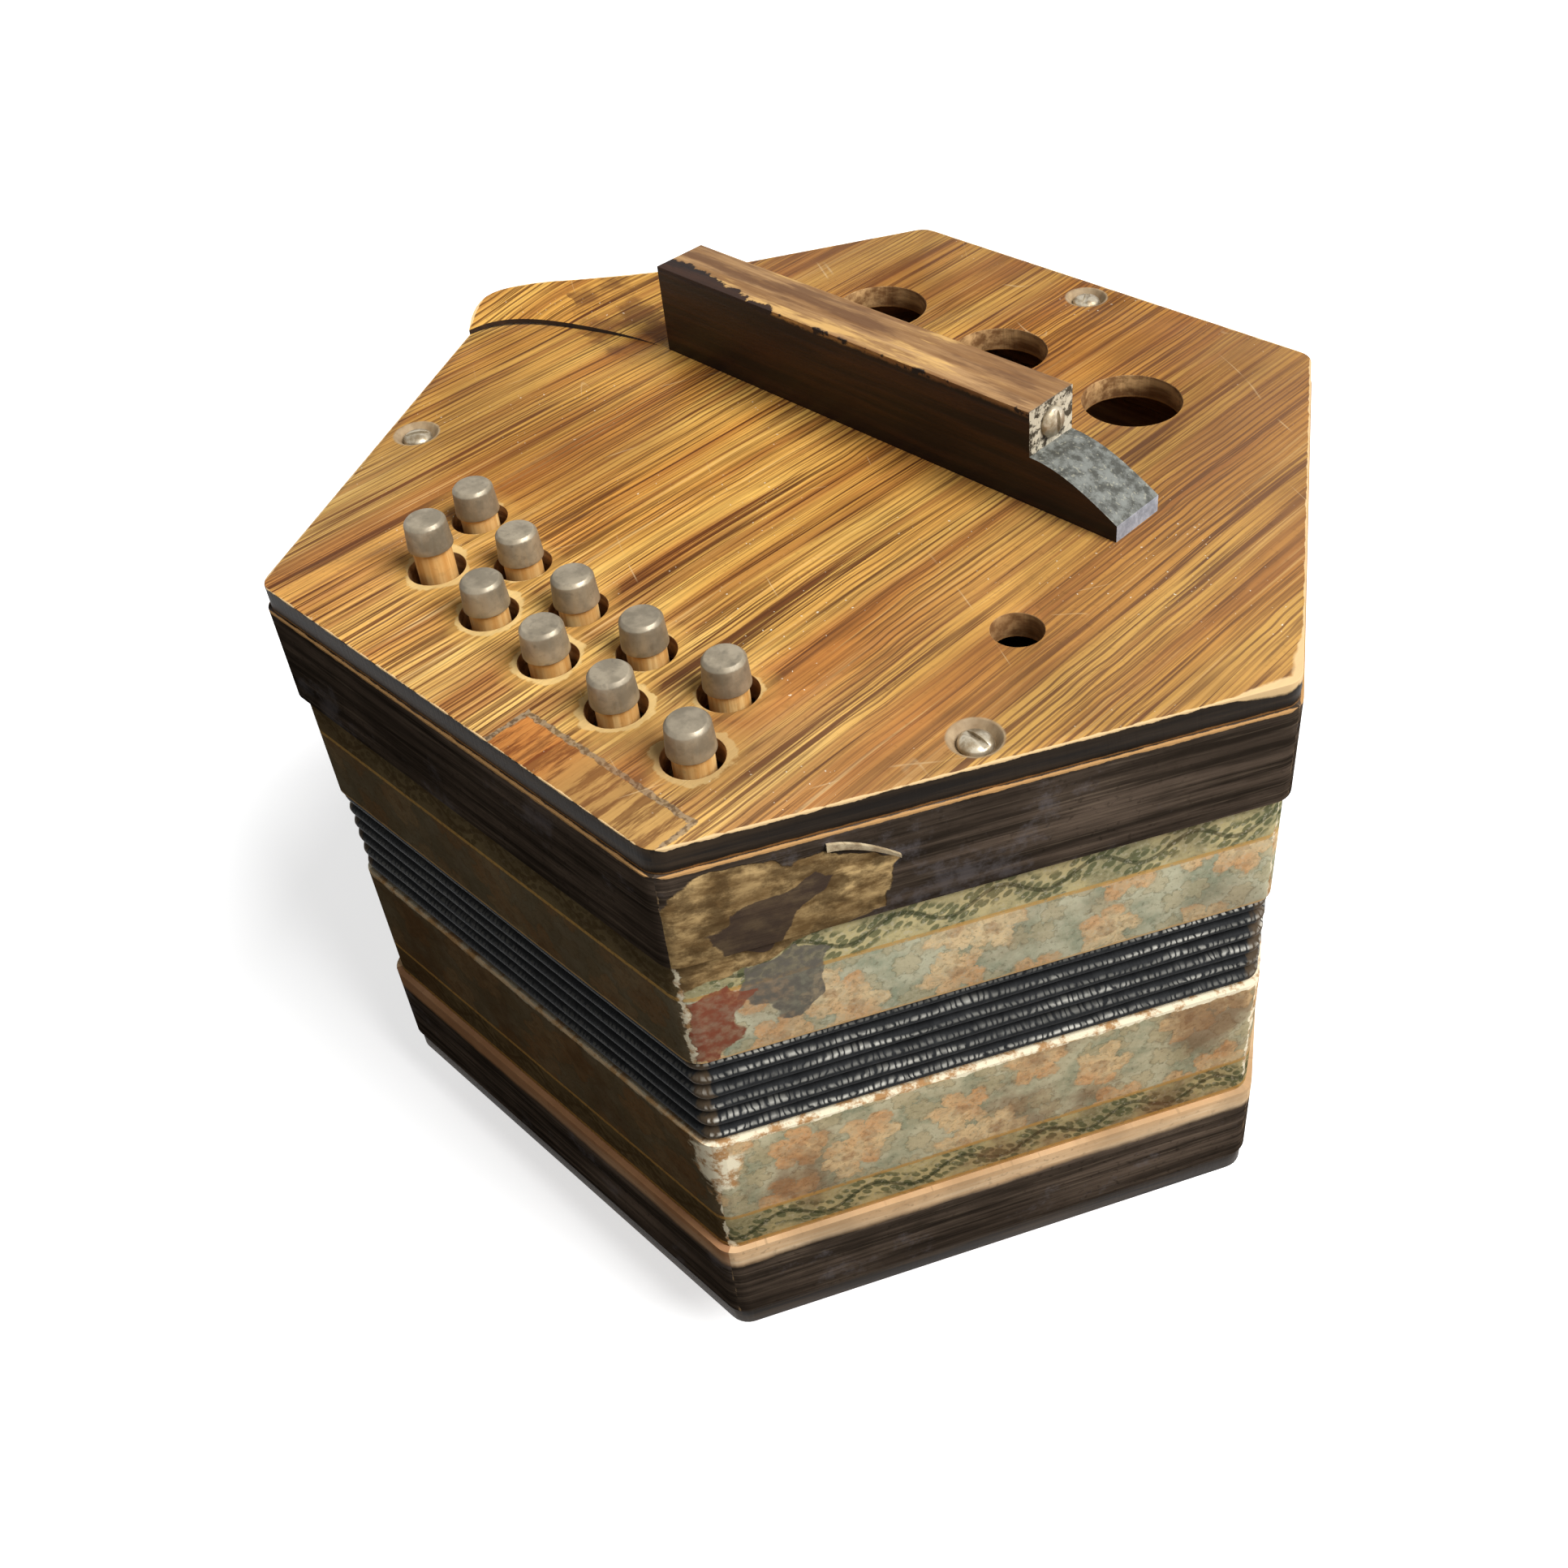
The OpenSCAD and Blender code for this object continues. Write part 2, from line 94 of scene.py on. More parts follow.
plate_low, plate_high = corners_of("right_end_plate")
frame_low, frame_high = corners_of("right_frame")
left_frame_low, left_frame_high = corners_of("left_frame")
bellows_low, bellows_high = corners_of("bellows")
rail_low, rail_high = corners_of("right_rail")
wall_high, left_wall_high = corners_of("right_wall")[1], corners_of("left_wall")[1]
left_face_z = corners_of("left_end_plate")[0].z
TOP = plate_high.z
APOTHEM = wall_high.y
PLATE_APOTHEM = plate_high.y
FRAME_APOTHEM = frame_high.y
BELLOWS_APOTHEM = bellows_high.y
print(f"plate top at {TOP / MM:.1f} mm, {2 * APOTHEM / MM:.0f} mm across the flats")

# %% [markdown]
# ## Camera
# The view looks down on the right-hand end from the thumb side. The camera stands only about 28 cm from
# it, so the hexagon's far edges shrink strongly. The three directions of the camera are worked out from
# an elevation, an azimuth and a small roll, and a modest lens shift centres the framing.

# %% Place the camera
ELEVATION, AZIMUTH, ROLL = (math.radians(angle) for angle in (38.06, 44.77, -4.04))
CAMERA_OFFSET = Vector((171.3, -162.2, 148.5)) * MM
SENSOR = 36.0
LENS = 37.88
SHIFT = (-0.0596, -0.0997)


def camera_axes(elevation, azimuth, roll):
    """Back = (sin a cos e, -cos a cos e, sin e); right = up x back; the roll turns right and up."""
    back = Vector((math.sin(azimuth) * math.cos(elevation),
                   -math.cos(azimuth) * math.cos(elevation), math.sin(elevation)))
    right = Vector((0, 0, 1)).cross(back).normalized()
    up = back.cross(right)
    rolled_right = math.cos(roll) * right + math.sin(roll) * up
    rolled_up = -math.sin(roll) * right + math.cos(roll) * up
    return rolled_right, rolled_up, back


camera_data = bpy.data.cameras.new("camera")
camera_data.sensor_width = SENSOR
camera_data.lens = LENS
camera_data.shift_x, camera_data.shift_y = SHIFT
camera_data.clip_start = 10 * MM
camera = bpy.data.objects.new("camera", camera_data)
axes = Matrix(camera_axes(ELEVATION, AZIMUTH, ROLL)).transposed()
camera.matrix_world = Matrix.Translation(Vector((0, 0, TOP)) + CAMERA_OFFSET) @ axes.to_4x4()
bpy.context.collection.objects.link(camera)
bpy.context.scene.camera = camera
print("camera at", [round(value, 3) for value in camera.matrix_world.translation])

# %% [markdown]
# ## Short calls for nodes
# A shader is a small program. Written socket by socket it fills pages, so one helper class places a
# node, sets the sockets that are given as numbers and links the ones that are given as other sockets.
# Colours are written as everyday 0 to 255 screen values, three numbers each, and turned into the linear
# values that light works in. Arithmetic reads as words: times, plus, minus, over, most and least.

# %% A helper for node trees
def paint(red, green, blue):
    """Linear colour of a screen colour: ((c + 0.055) / 1.055) ** 2.4 above the toe, c / 12.92 in it."""
    values = np.array([red, green, blue]) / 255
    linear = np.where(values > 0.04045, ((values + 0.055) / 1.055) ** 2.4, values / 12.92)
    return (*linear.tolist(), 1.0)


class Nodes:
    """A node tree with short calls. Each call returns the output socket that carries its result."""

    def __init__(self, tree):
        self.tree = tree

    def put(self, kind, values=None, **settings):
        """Places a node of a kind, with its settings and the values of its named inputs."""
        node = self.tree.nodes.new("ShaderNode" + kind)
        for name, value in settings.items():
            setattr(node, name, value)
        for name, value in (values or {}).items():
            self.feed(node.inputs[name], value)
        return node

    def feed(self, socket, value):
        """Links an output to a socket, or sets the socket. Three numbers for a colour are screen values."""
        if isinstance(value, bpy.types.NodeSocket):
            self.tree.links.new(value, socket)
        elif socket.type == "RGBA" and len(value) == 3:
            socket.default_value = paint(*value)
        else:
            socket.default_value = value

    def math(self, operation, *values, clamp=False):
        node = self.put("Math", operation=operation, use_clamp=clamp)
        for socket, value in zip(node.inputs, values):
            self.feed(socket, value)
        return node.outputs[0]

    def plus(self, first, second):
        return self.math("ADD", first, second)

    def minus(self, first, second, clamp=False):
        return self.math("SUBTRACT", first, second, clamp=clamp)

    def times(self, first, second):
        return self.math("MULTIPLY", first, second)

    def times_plus(self, first, second, third):
        """first x second + third"""
        return self.math("MULTIPLY_ADD", first, second, third)

    def over(self, first, second):
        return self.math("DIVIDE", first, second)

    def most(self, first, second):
        return self.math("MAXIMUM", first, second)

    def least(self, first, second):
        return self.math("MINIMUM", first, second)

    def unsigned(self, value):
        return self.math("ABSOLUTE", value)

    def vector(self, operation, *values):
        """Vector arithmetic. A dot product, a length and a distance come out as one number."""
        node = self.put("VectorMath", operation=operation)
        for socket, value in zip(node.inputs, values):
            self.feed(socket, value)
        return node.outputs["Value" if operation in ("DOT_PRODUCT", "LENGTH", "DISTANCE") else "Vector"]

    def scaled(self, vector, x, y, z):
        return self.vector("MULTIPLY", vector, (x, y, z))

    def split(self, vector):
        return self.put("SeparateXYZ", {"Vector": vector}).outputs

    def join(self, x=0.0, y=0.0, z=0.0):
        return self.put("CombineXYZ", {"X": x, "Y": y, "Z": z}).outputs[0]

    def mix(self, factor, first, second, blend="MIX"):
        """The first colour where the factor is 0 and the second where it is 1."""
        node = self.put("Mix", data_type="RGBA", blend_type=blend)
        self.feed(node.inputs["Factor"], factor)
        self.feed(node.inputs[6], first)
        self.feed(node.inputs[7], second)
        return node.outputs[2]

    def ease(self, value, start, end, low=0.0, high=1.0):
        """Goes smoothly from low at start to high at end, and stays there."""
        node = self.put("MapRange", {"Value": value, "From Min": start, "From Max": end,
                                     "To Min": low, "To Max": high}, interpolation_type="SMOOTHSTEP")
        return node.outputs["Result"]

    def noise(self, vector, scale, detail=3.0, roughness=0.5, distortion=0.0):
        return self.put("TexNoise", {"Vector": vector, "Scale": scale, "Detail": detail,
                                     "Roughness": roughness, "Distortion": distortion}).outputs[0]

    def cloud(self, vector, scale, start, end, low=0.0, high=1.0, **kinds):
        """Soft patches: noise that is eased from low to high between two of its levels."""
        return self.ease(self.noise(vector, scale, **kinds), start, end, low, high)

    def ramp(self, value, *stops):
        """A colour ramp: each stop is a place from 0 to 1 with a colour."""
        node = self.put("ValToRGB", {"Fac": value})
        ladder = node.color_ramp.elements
        for step, (place, colour) in zip(ladder, (stops[0], stops[-1])):
            step.position, step.color = place, paint(*colour)
        for place, colour in stops[1:-1]:
            ladder.new(place).color = paint(*colour)
        return node.outputs[0]

    def group(self, group, **values):
        """Places a shared group. half_size=... feeds its socket Half size, and so on."""
        node = self.put("Group")
        node.node_tree = group
        for name, value in values.items():
            self.feed(node.inputs[name.replace("_", " ").capitalize()], value)
        return node.outputs


def new_group(name, inputs, outputs):
    """A shader node group with named sockets: (name, kind, default) in and (name, kind) out."""
    tree = bpy.data.node_groups.new(name, "ShaderNodeTree")
    for label, kind, default in inputs:
        socket = tree.interface.new_socket(label, in_out="INPUT", socket_type="NodeSocket" + kind)
        socket.default_value = default
    for label, kind in outputs:
        tree.interface.new_socket(label, in_out="OUTPUT", socket_type="NodeSocket" + kind)
    nodes = Nodes(tree)
    return nodes, tree.nodes.new("NodeGroupInput").outputs, tree.nodes.new("NodeGroupOutput").inputs


print("one colour, checked:", [round(value, 3) for value in paint(201, 150, 82)[:3]])

# %% [markdown]
# ## Node groups shared by the finishes
# Old wood and paper wear in the same few ways wherever they are, so each way is a group of its own with
# named inputs. The first group finds the nearest side of a hexagon. It measures the depth inside, which is
# the key to worn arrises: the apothem less the largest of three dot products. It also gives a place along
# that side, so that a print can run round the box without any unwrapped picture.

# %% Group: the sides of a hexagon
# Distance: how deep inside the hexagon. Along: metres from the middle of the nearest side, anticlockwise
# seen from above. Corner: how far that is from the side's end. Side: 0 to 5, for 30, 90 ... 330 degrees.
nodes, given, result = new_group("hexagon side", [("Vector", "Vector", (0, 0, 0)),
                                                  ("Apothem", "Float", 80 * MM)],
                                 [("Distance", "Float"), ("Along", "Float"), ("Corner", "Float"),
                                  ("Side", "Float")])
HALF_ROOT = math.sqrt(3) / 2
SIDE_AXES = (((HALF_ROOT, 0.5, 0), (-0.5, HALF_ROOT, 0), 1.5, -1.5),
             ((0, 1, 0), (-1, 0, 0), 2.5, -1.5),
             ((HALF_ROOT, -0.5, 0), (0.5, HALF_ROOT, 0), 3.5, 1.5))
dots = [nodes.vector("DOT_PRODUCT", given["Vector"], normal) for normal, *_ in SIDE_AXES]
reaches = [nodes.unsigned(dot) for dot in dots]
furthest = nodes.most(nodes.most(reaches[0], reaches[1]), reaches[2])
along, side = 0.0, 0.0
for dot, reach, (_, tangent, middle, swing) in zip(dots, reaches, SIDE_AXES):
    chosen = nodes.math("GREATER_THAN", reach, nodes.minus(furthest, 1e-7))
    sign = nodes.math("SIGN", dot)
    place = nodes.times(nodes.vector("DOT_PRODUCT", given["Vector"], tangent), sign)
    along = nodes.times_plus(chosen, place, along)
    side = nodes.times_plus(chosen, nodes.times_plus(sign, swing, middle), side)
half_side = nodes.over(given["Apothem"], math.sqrt(3))
nodes.feed(result["Distance"], nodes.minus(given["Apothem"], furthest))
nodes.feed(result["Along"], along)
nodes.feed(result["Corner"], nodes.minus(half_side, nodes.unsigned(along)))
nodes.feed(result["Side"], side)
hexagon_side = nodes.tree
print(f"{hexagon_side.name}: {len(hexagon_side.nodes)} nodes")

# %% [markdown]
# Worn arrises, torn paper and old glue all end in a ragged line. A plain threshold on a distance would give
# a ruled line, and a painted mask would need a picture. So noise is added to the distance first. The mask
# is 1 where the sum is well under a width and 0 beyond it.

# %% Group: a ragged mask
nodes, given, result = new_group("ragged mask",
                                 [("Vector", "Vector", (0, 0, 0)), ("Distance", "Float", 0.0),
                                  ("Width", "Float", MM), ("Raggedness", "Float", MM),
                                  ("Scale", "Float", 400.0)],
                                 [("Mask", "Float")])
ripple = nodes.minus(nodes.noise(given["Vector"], given["Scale"], detail=5, roughness=0.62), 0.5)
eaten = nodes.times_plus(ripple, given["Raggedness"], given["Distance"])
mask = nodes.put("MapRange", {"Value": eaten, "From Min": given["Width"],
                              "From Max": nodes.times(given["Width"], 0.7)})
nodes.feed(result["Mask"], mask.outputs["Result"])
ragged_mask = nodes.tree


def ragged_edge(nodes, vector, distance, width, raggedness, scale):
    """The ragged mask's output, with the group placed in a tree."""
    return nodes.group(ragged_mask, vector=vector, distance=distance, width=width,
                       raggedness=raggedness, scale=scale)["Mask"]


print(f"{ragged_mask.name}: {len(ragged_mask.nodes)} nodes")

# %% [markdown]
# Smoke and hands leave blotches of no exact shape. A blotch is a leaning oval: the length of the offset
# from its centre, divided by its half sizes, is 1 on its outline. Noise on that length tears the outline.

# %% Group: an oval patch with a torn edge
nodes, given, result = new_group("torn patch",
                                 [("Vector", "Vector", (0, 0, 0)), ("Centre", "Vector", (0, 0, 0)),
                                  ("Half size", "Vector", (10 * MM, 10 * MM, 1)), ("Lean", "Float", 0.0),
                                  ("Raggedness", "Float", 0.5)],
                                 [("Mask", "Float")])
offset = nodes.vector("SUBTRACT", given["Vector"], given["Centre"])
turned = nodes.put("VectorRotate", {"Vector": offset, "Angle": given["Lean"]}, rotation_type="Z_AXIS")
reach = nodes.vector("LENGTH", nodes.vector("DIVIDE", turned.outputs[0], given["Half size"]))
ripple = nodes.minus(nodes.noise(given["Vector"], 190, detail=4, roughness=0.6), 0.5)
nodes.feed(result["Mask"], nodes.ease(nodes.times_plus(ripple, given["Raggedness"], reach), 1.04, 0.98))
torn_patch = nodes.tree
print(f"{torn_patch.name}: {len(torn_patch.nodes)} nodes")

# %% [markdown]
# A torn area that is no oval is given by its corners. Inside a convex outline every edge has the point on
# the same side, so the largest of the signed distances to the edges is negative there.

# %% A ragged area with straight-sided bounds
SWIRL = 9 * MM
TEAR_EDGE = 0.15 * MM


def torn_area(nodes, spot, corners, raggedness, scale):
    """1 inside a convex outline of corners in mm, listed clockwise as y grows downwards."""
    swirl = nodes.put("TexNoise", {"Vector": spot, "Scale": 95.0, "Detail": 2.0}).outputs["Color"]
    spot = nodes.vector("MULTIPLY_ADD", swirl, (SWIRL, SWIRL, 0),
                        nodes.vector("SUBTRACT", spot, (SWIRL / 2, SWIRL / 2, 0)))
    points = np.array(corners) * MM
    ahead = np.roll(points, -1, axis=0) - points
    normals = np.stack([ahead[:, 1], -ahead[:, 0]], axis=1) / np.hypot(*ahead.T)[:, None]
    beyond = None
    for point, normal in zip(points, normals):
        dot = nodes.vector("DOT_PRODUCT", spot, (*normal.tolist(), 0))
        distance = nodes.minus(dot, float(point @ normal))
        beyond = distance if beyond is None else nodes.most(beyond, distance)
    ripple = nodes.minus(nodes.noise(spot, scale, detail=5, roughness=0.6), 0.5)
    return nodes.ease(nodes.times_plus(ripple, raggedness, beyond), TEAR_EDGE, -TEAR_EDGE)


print(f"torn outlines swirl by up to {SWIRL / 2 / MM:.1f} mm")

# %% [markdown]
# ## Striped veneer
# The end plates carry a veneer sawn so that its fine dark lines run straight across the hand rail. Noise
# that is stretched a long way along one axis gives such lines. Layers of it lie over each other: broad
# bands of tone, brown stripes, pale streaks, dark lines and faint hair lines. A sine wave adds stretches
# of evenly spaced lines, as such veneer has them. A little sideways wander bends all layers together.

# %% Group: striped veneer
LINE_PITCH = 1.25 * MM
WANDER = 5 * MM
nodes, given, result = new_group("striped veneer", [("Vector", "Vector", (0, 0, 0))],
                                 [("Color", "Color"), ("Height", "Float")])
wander = nodes.noise(nodes.scaled(given["Vector"], 1, 0.5, 1), 18, detail=2)
across, along, _ = nodes.split(given["Vector"])
across = nodes.times_plus(nodes.minus(wander, 0.5), WANDER, across)


def stripes(stretch, scale, detail=3.0, roughness=0.6):
    """Noise drawn out along the stripes by 1 / stretch."""
    return nodes.noise(nodes.join(across, nodes.times(along, stretch)), scale, detail, roughness)


broad = stripes(0.10, 42, 2)
middling = stripes(0.03, 250, 3)
fine = stripes(0.012, 900, 3, 0.65)
hairs = stripes(0.008, 2600, 1)
breaks = stripes(0.12, 130, 3)
ground = nodes.ramp(broad, (0.3, (178, 110, 48)), (0.45, (214, 154, 72)), (0.55, (230, 180, 92)),
                    (0.7, (190, 124, 56)))
brown = nodes.times(nodes.ease(middling, 0.47, 0.62), 0.62)
dark = nodes.times(nodes.ease(fine, 0.5, 0.6), nodes.ease(breaks, 0.32, 0.58, 0.35, 0.95))
turns = nodes.times_plus(nodes.noise(given["Vector"], 60, detail=2), 9.0,
                         nodes.times(across, 2 * math.pi / LINE_PITCH))
ruled = nodes.times(nodes.ease(nodes.math("SINE", turns), 0.35, 0.9),
                    nodes.cloud(nodes.scaled(given["Vector"], 1, 0.3, 1), 75, 0.42, 0.6, 0.2, 0.8, detail=2))
dark = nodes.most(dark, ruled)
faint = nodes.ease(hairs, 0.46, 0.70, 0.0, 0.6)
light = nodes.times(nodes.ease(fine, 0.44, 0.34), nodes.ease(breaks, 0.55, 0.4, 0.1, 0.6))
wood = nodes.mix(brown, ground, (150, 88, 42))
wood = nodes.mix(light, wood, (232, 190, 120))
wood = nodes.mix(dark, wood, (76, 38, 18))
nodes.feed(result["Color"], nodes.mix(faint, wood, (112, 64, 30)))
nodes.feed(result["Height"], nodes.minus(1.0, nodes.most(dark, faint)))
striped_veneer = nodes.tree
print(f"{striped_veneer.name}: {len(striped_veneer.nodes)} nodes")

# %% [markdown]
# ## Plain grain, grime and scratches
# The plain woods need only fibres. A fine noise and a coarse one, both drawn out along the first
# coordinate, are multiplied, so that some bands of fibres are fainter than others. Each wood gives its own
# dark and light tone, and turns its coordinates so that the fibres run the right way.

# %% Group: long grain
nodes, given, result = new_group("long grain",
                                 [("Vector", "Vector", (0, 0, 0)), ("Dark", "Color", (0.01, 0.01, 0.01, 1)),
                                  ("Light", "Color", (0.1, 0.1, 0.1, 1)), ("Scale", "Float", 300.0)],
                                 [("Color", "Color"), ("Height", "Float")])
FIBRE_STRETCH = 0.045
drawn = nodes.scaled(given["Vector"], FIBRE_STRETCH, 1, 1)
fibres = nodes.noise(drawn, given["Scale"], detail=6, roughness=0.66)
bands = nodes.noise(drawn, nodes.times(given["Scale"], 0.25), detail=2)
grain = nodes.times(nodes.ease(fibres, 0.36, 0.68), nodes.ease(bands, 0.3, 0.7, 0.45, 1.0))
nodes.feed(result["Color"], nodes.mix(grain, given["Dark"], given["Light"]))
nodes.feed(result["Height"], grain)
long_grain = nodes.tree


def wood_grain(nodes, vector, dark, light, scale):
    """The long grain's Color and Height, with the group placed in a tree."""
    return nodes.group(long_grain, vector=vector, dark=dark, light=light, scale=scale)


print(f"{long_grain.name}: {len(long_grain.nodes)} nodes")

# %% [markdown]
# Handled wood is never evenly clean. Grime is soft blotches with small dark specks, given as a shade that
# multiplies a finish. Scratches are thin curved lines. A stretched noise crosses its middle value along
# such lines, so the distance from that value is eased into a thin mask, and nothing has to be drawn.

# %% Group: grime
nodes, given, result = new_group("grime", [("Vector", "Vector", (0, 0, 0)), ("Amount", "Float", 0.5)],
                                 [("Shade", "Float")])
blotch = nodes.cloud(given["Vector"], 55, 0.35, 0.65, detail=5, roughness=0.6)
speck = nodes.cloud(given["Vector"], 900, 0.3, 0.42, detail=2)
dirt = nodes.times(nodes.minus(1.0, nodes.times(blotch, speck)), given["Amount"])
nodes.feed(result["Shade"], nodes.minus(1.0, dirt, clamp=True))
grime = nodes.tree
print(f"{grime.name}: {len(grime.nodes)} nodes")

# %% Group: scratches
nodes, given, result = new_group("scratches", [("Vector", "Vector", (0, 0, 0)), ("Scale", "Float", 60.0)],
                                 [("Mask", "Float")])
masks = []
for angle, stretch in ((0.5, 0.16), (2.1, 0.22)):
    turned = nodes.put("VectorRotate", {"Vector": given["Vector"], "Angle": angle}, rotation_type="Z_AXIS")
    field = nodes.noise(nodes.scaled(turned.outputs[0], stretch, 1, 1), given["Scale"], detail=1,
                        distortion=0.4)
    line = nodes.ease(nodes.unsigned(nodes.minus(field, 0.5)), 0.0045, 0.0)
    place = nodes.cloud(turned.outputs[0], 70, 0.58, 0.68, detail=2)
    masks.append(nodes.times(line, place))
nodes.feed(result["Mask"], nodes.most(*masks))
scratches = nodes.tree
print(f"{scratches.name}: {len(scratches.nodes)} nodes")

# %% [markdown]
# ## Printed paper
# The frames are covered with a cheap block-printed paper: a field of blossoms in faded pink and tan on
# grey-green, and a narrow border of leafy stems. Both are worked out from the paper's own coordinates,
# the way round the hexagon and the height. A blossom is a Voronoi cell whose radius rises and falls five
# times a turn. A stem is a sine wave, with small slanted cells beside it for leaves.

# %% Group: blossoms
nodes, given, result = new_group("blossoms", [("Vector", "Vector", (0, 0, 0)), ("Cell", "Float", 12 * MM),
                                              ("Size", "Float", 0.42)],
                                 [("Petals", "Float"), ("Outline", "Float"), ("Eye", "Float")])
LOBES = 5
TURN_SPREAD = 6.28
scale = nodes.over(1.0, given["Cell"])
cells = nodes.put("TexVoronoi", {"Vector": given["Vector"], "Scale": scale, "Randomness": 0.75},
                  voronoi_dimensions="2D")
offset = nodes.vector("SUBTRACT", given["Vector"], cells.outputs["Position"])
offset_x, offset_y, _ = nodes.split(offset)
radius = nodes.times(nodes.vector("LENGTH", nodes.join(offset_x, offset_y)), scale)
turn = nodes.times_plus(nodes.split(cells.outputs["Color"])[0], TURN_SPREAD,
                        nodes.math("ARCTAN2", offset_y, offset_x))
lobes = nodes.math("POWER", nodes.unsigned(nodes.math("COSINE", nodes.times(turn, LOBES / 2))), 0.6)
petal_r = nodes.times(given["Size"], nodes.times_plus(lobes, 0.5, 0.5))
inside = nodes.minus(petal_r, radius)
nodes.feed(result["Petals"], nodes.ease(inside, -0.015, 0.015))
nodes.feed(result["Outline"], nodes.ease(nodes.unsigned(inside), 0.05, 0.02))
nodes.feed(result["Eye"], nodes.ease(radius, 0.12, 0.09))
blossoms = nodes.tree
print(f"{blossoms.name}: {len(blossoms.nodes)} nodes")

# %% Group: leafy stems
nodes, given, result = new_group("leafy stems",
                                 [("Vector", "Vector", (0, 0, 0)), ("Pitch", "Float", 14 * MM),
                                  ("Height", "Float", 8 * MM)],
                                 [("Stem", "Float"), ("Leaf", "Float")])
run, rise, _ = nodes.split(given["Vector"])
phase = nodes.times(nodes.over(run, given["Pitch"]), 2 * math.pi)
level = nodes.over(rise, given["Height"])
wave = nodes.times_plus(nodes.math("SINE", phase), 0.22, 0.5)
off_wave = nodes.unsigned(nodes.minus(level, wave))
slant = nodes.put("VectorRotate", {"Vector": given["Vector"], "Angle": 0.7},
                  rotation_type="Z_AXIS").outputs[0]
leaves = nodes.put("TexVoronoi", {"Vector": nodes.scaled(slant, 0.55, 1, 1), "Scale": 860.0,
                                  "Randomness": 1.0}, voronoi_dimensions="2D").outputs["Distance"]
near_wave = nodes.ease(off_wave, 0.46, 0.30)
nodes.feed(result["Stem"], nodes.ease(off_wave, 0.07, 0.04))
nodes.feed(result["Leaf"], nodes.times(nodes.ease(leaves, 0.5, 0.36), near_wave))
leafy_stems = nodes.tree
print(f"{leafy_stems.name}: {len(leafy_stems.nodes)} nodes")

# %% [markdown]
# ## Materials
# Each material starts the same way: one Principled shader whose base colour, roughness and bump come from
# the tree. The function below builds that start, so a material's own cell holds only what makes it
# different. Metal and gloss levels that are the same all over are set straight on the shader.

# %% A start for every material
def new_material(name, metallic=0.0, specular=0.4):
    """A material with its node helper and its shader."""
    material = bpy.data.materials.new(name)
    material.use_nodes = True
    shader = material.node_tree.nodes["Principled BSDF"]
    shader.inputs["Metallic"].default_value = metallic
    shader.inputs["Specular IOR Level"].default_value = specular
    return material, Nodes(material.node_tree), shader


def dress(nodes, shader, colour, roughness, height=None, depth=0.1 * MM, strength=1.0):
    """Links a colour, a roughness and a bump height, which is in units of depth, to the shader."""
    nodes.feed(shader.inputs["Base Color"], colour)
    nodes.feed(shader.inputs["Roughness"], roughness)
    if height is not None:
        bump = nodes.put("Bump", {"Height": height, "Distance": depth, "Strength": strength})
        nodes.feed(shader.inputs["Normal"], bump.outputs[0])


def shaded(nodes, colour, vector, amount):
    """The colour multiplied by the grime group's shade."""
    shade = nodes.group(grime, vector=vector, amount=amount)["Shade"]
    return nodes.mix(1.0, colour, shade, blend="MULTIPLY")


print("groups:", [group.name for group in bpy.data.node_groups])

# %% [markdown]
# ### End plate
# The plate's face is the striped veneer, and it carries wear of several kinds. Each kind is a function of
# its own that takes the colour so far and gives it back changed, so they can be read one by one and put in
# the order in which they happened. The first is the wear round the buttons. Fingertips land beside them,
# and have rubbed the dark lines down to a plain yellow. A mask painted by hand would not follow the rows, so
# the distance to the nearest button drives it: a row's y is a parabola in x, and rounding finds the button.

# %% Wear round the buttons
BUTTON_PITCH, HOLE_R = 16 * MM, 4.5 * MM
OUTER_ROW_X, INNER_ROW_X = -27 * MM, -33 * MM
OUTER_ROW_CURVE = (33 * MM, -63.6 * MM, 1 / (2 * 417 * MM))
INNER_ROW_CURVE = (11 * MM, -52.5 * MM, 1 / (2 * 161 * MM))
KEYS_FROM, KEYS_TO = -34 * MM, -58 * MM
RUB_REACH, RIM_REACH = 8.4 * MM, 1.3 * MM
LAST_OF_ROW = 4.0


def parabola(nodes, x, middle, base, bend):
    """y = base + bend (x - middle)^2, all in metres."""
    away = nodes.minus(x, middle)
    return nodes.times_plus(nodes.times(away, away), bend, base)


def row_distance(nodes, x, y, first_x, row_y):
    """Distance to the nearest button of a row: the row repeats every pitch along x."""
    nearest = nodes.math("ROUND", nodes.over(nodes.minus(x, first_x), BUTTON_PITCH))
    nearest = nodes.least(nodes.most(nearest, 0.0), LAST_OF_ROW)
    button_x = nodes.times_plus(nearest, BUTTON_PITCH, first_x)
    return nodes.vector("LENGTH", nodes.join(nodes.minus(x, button_x), nodes.minus(y, row_y)))


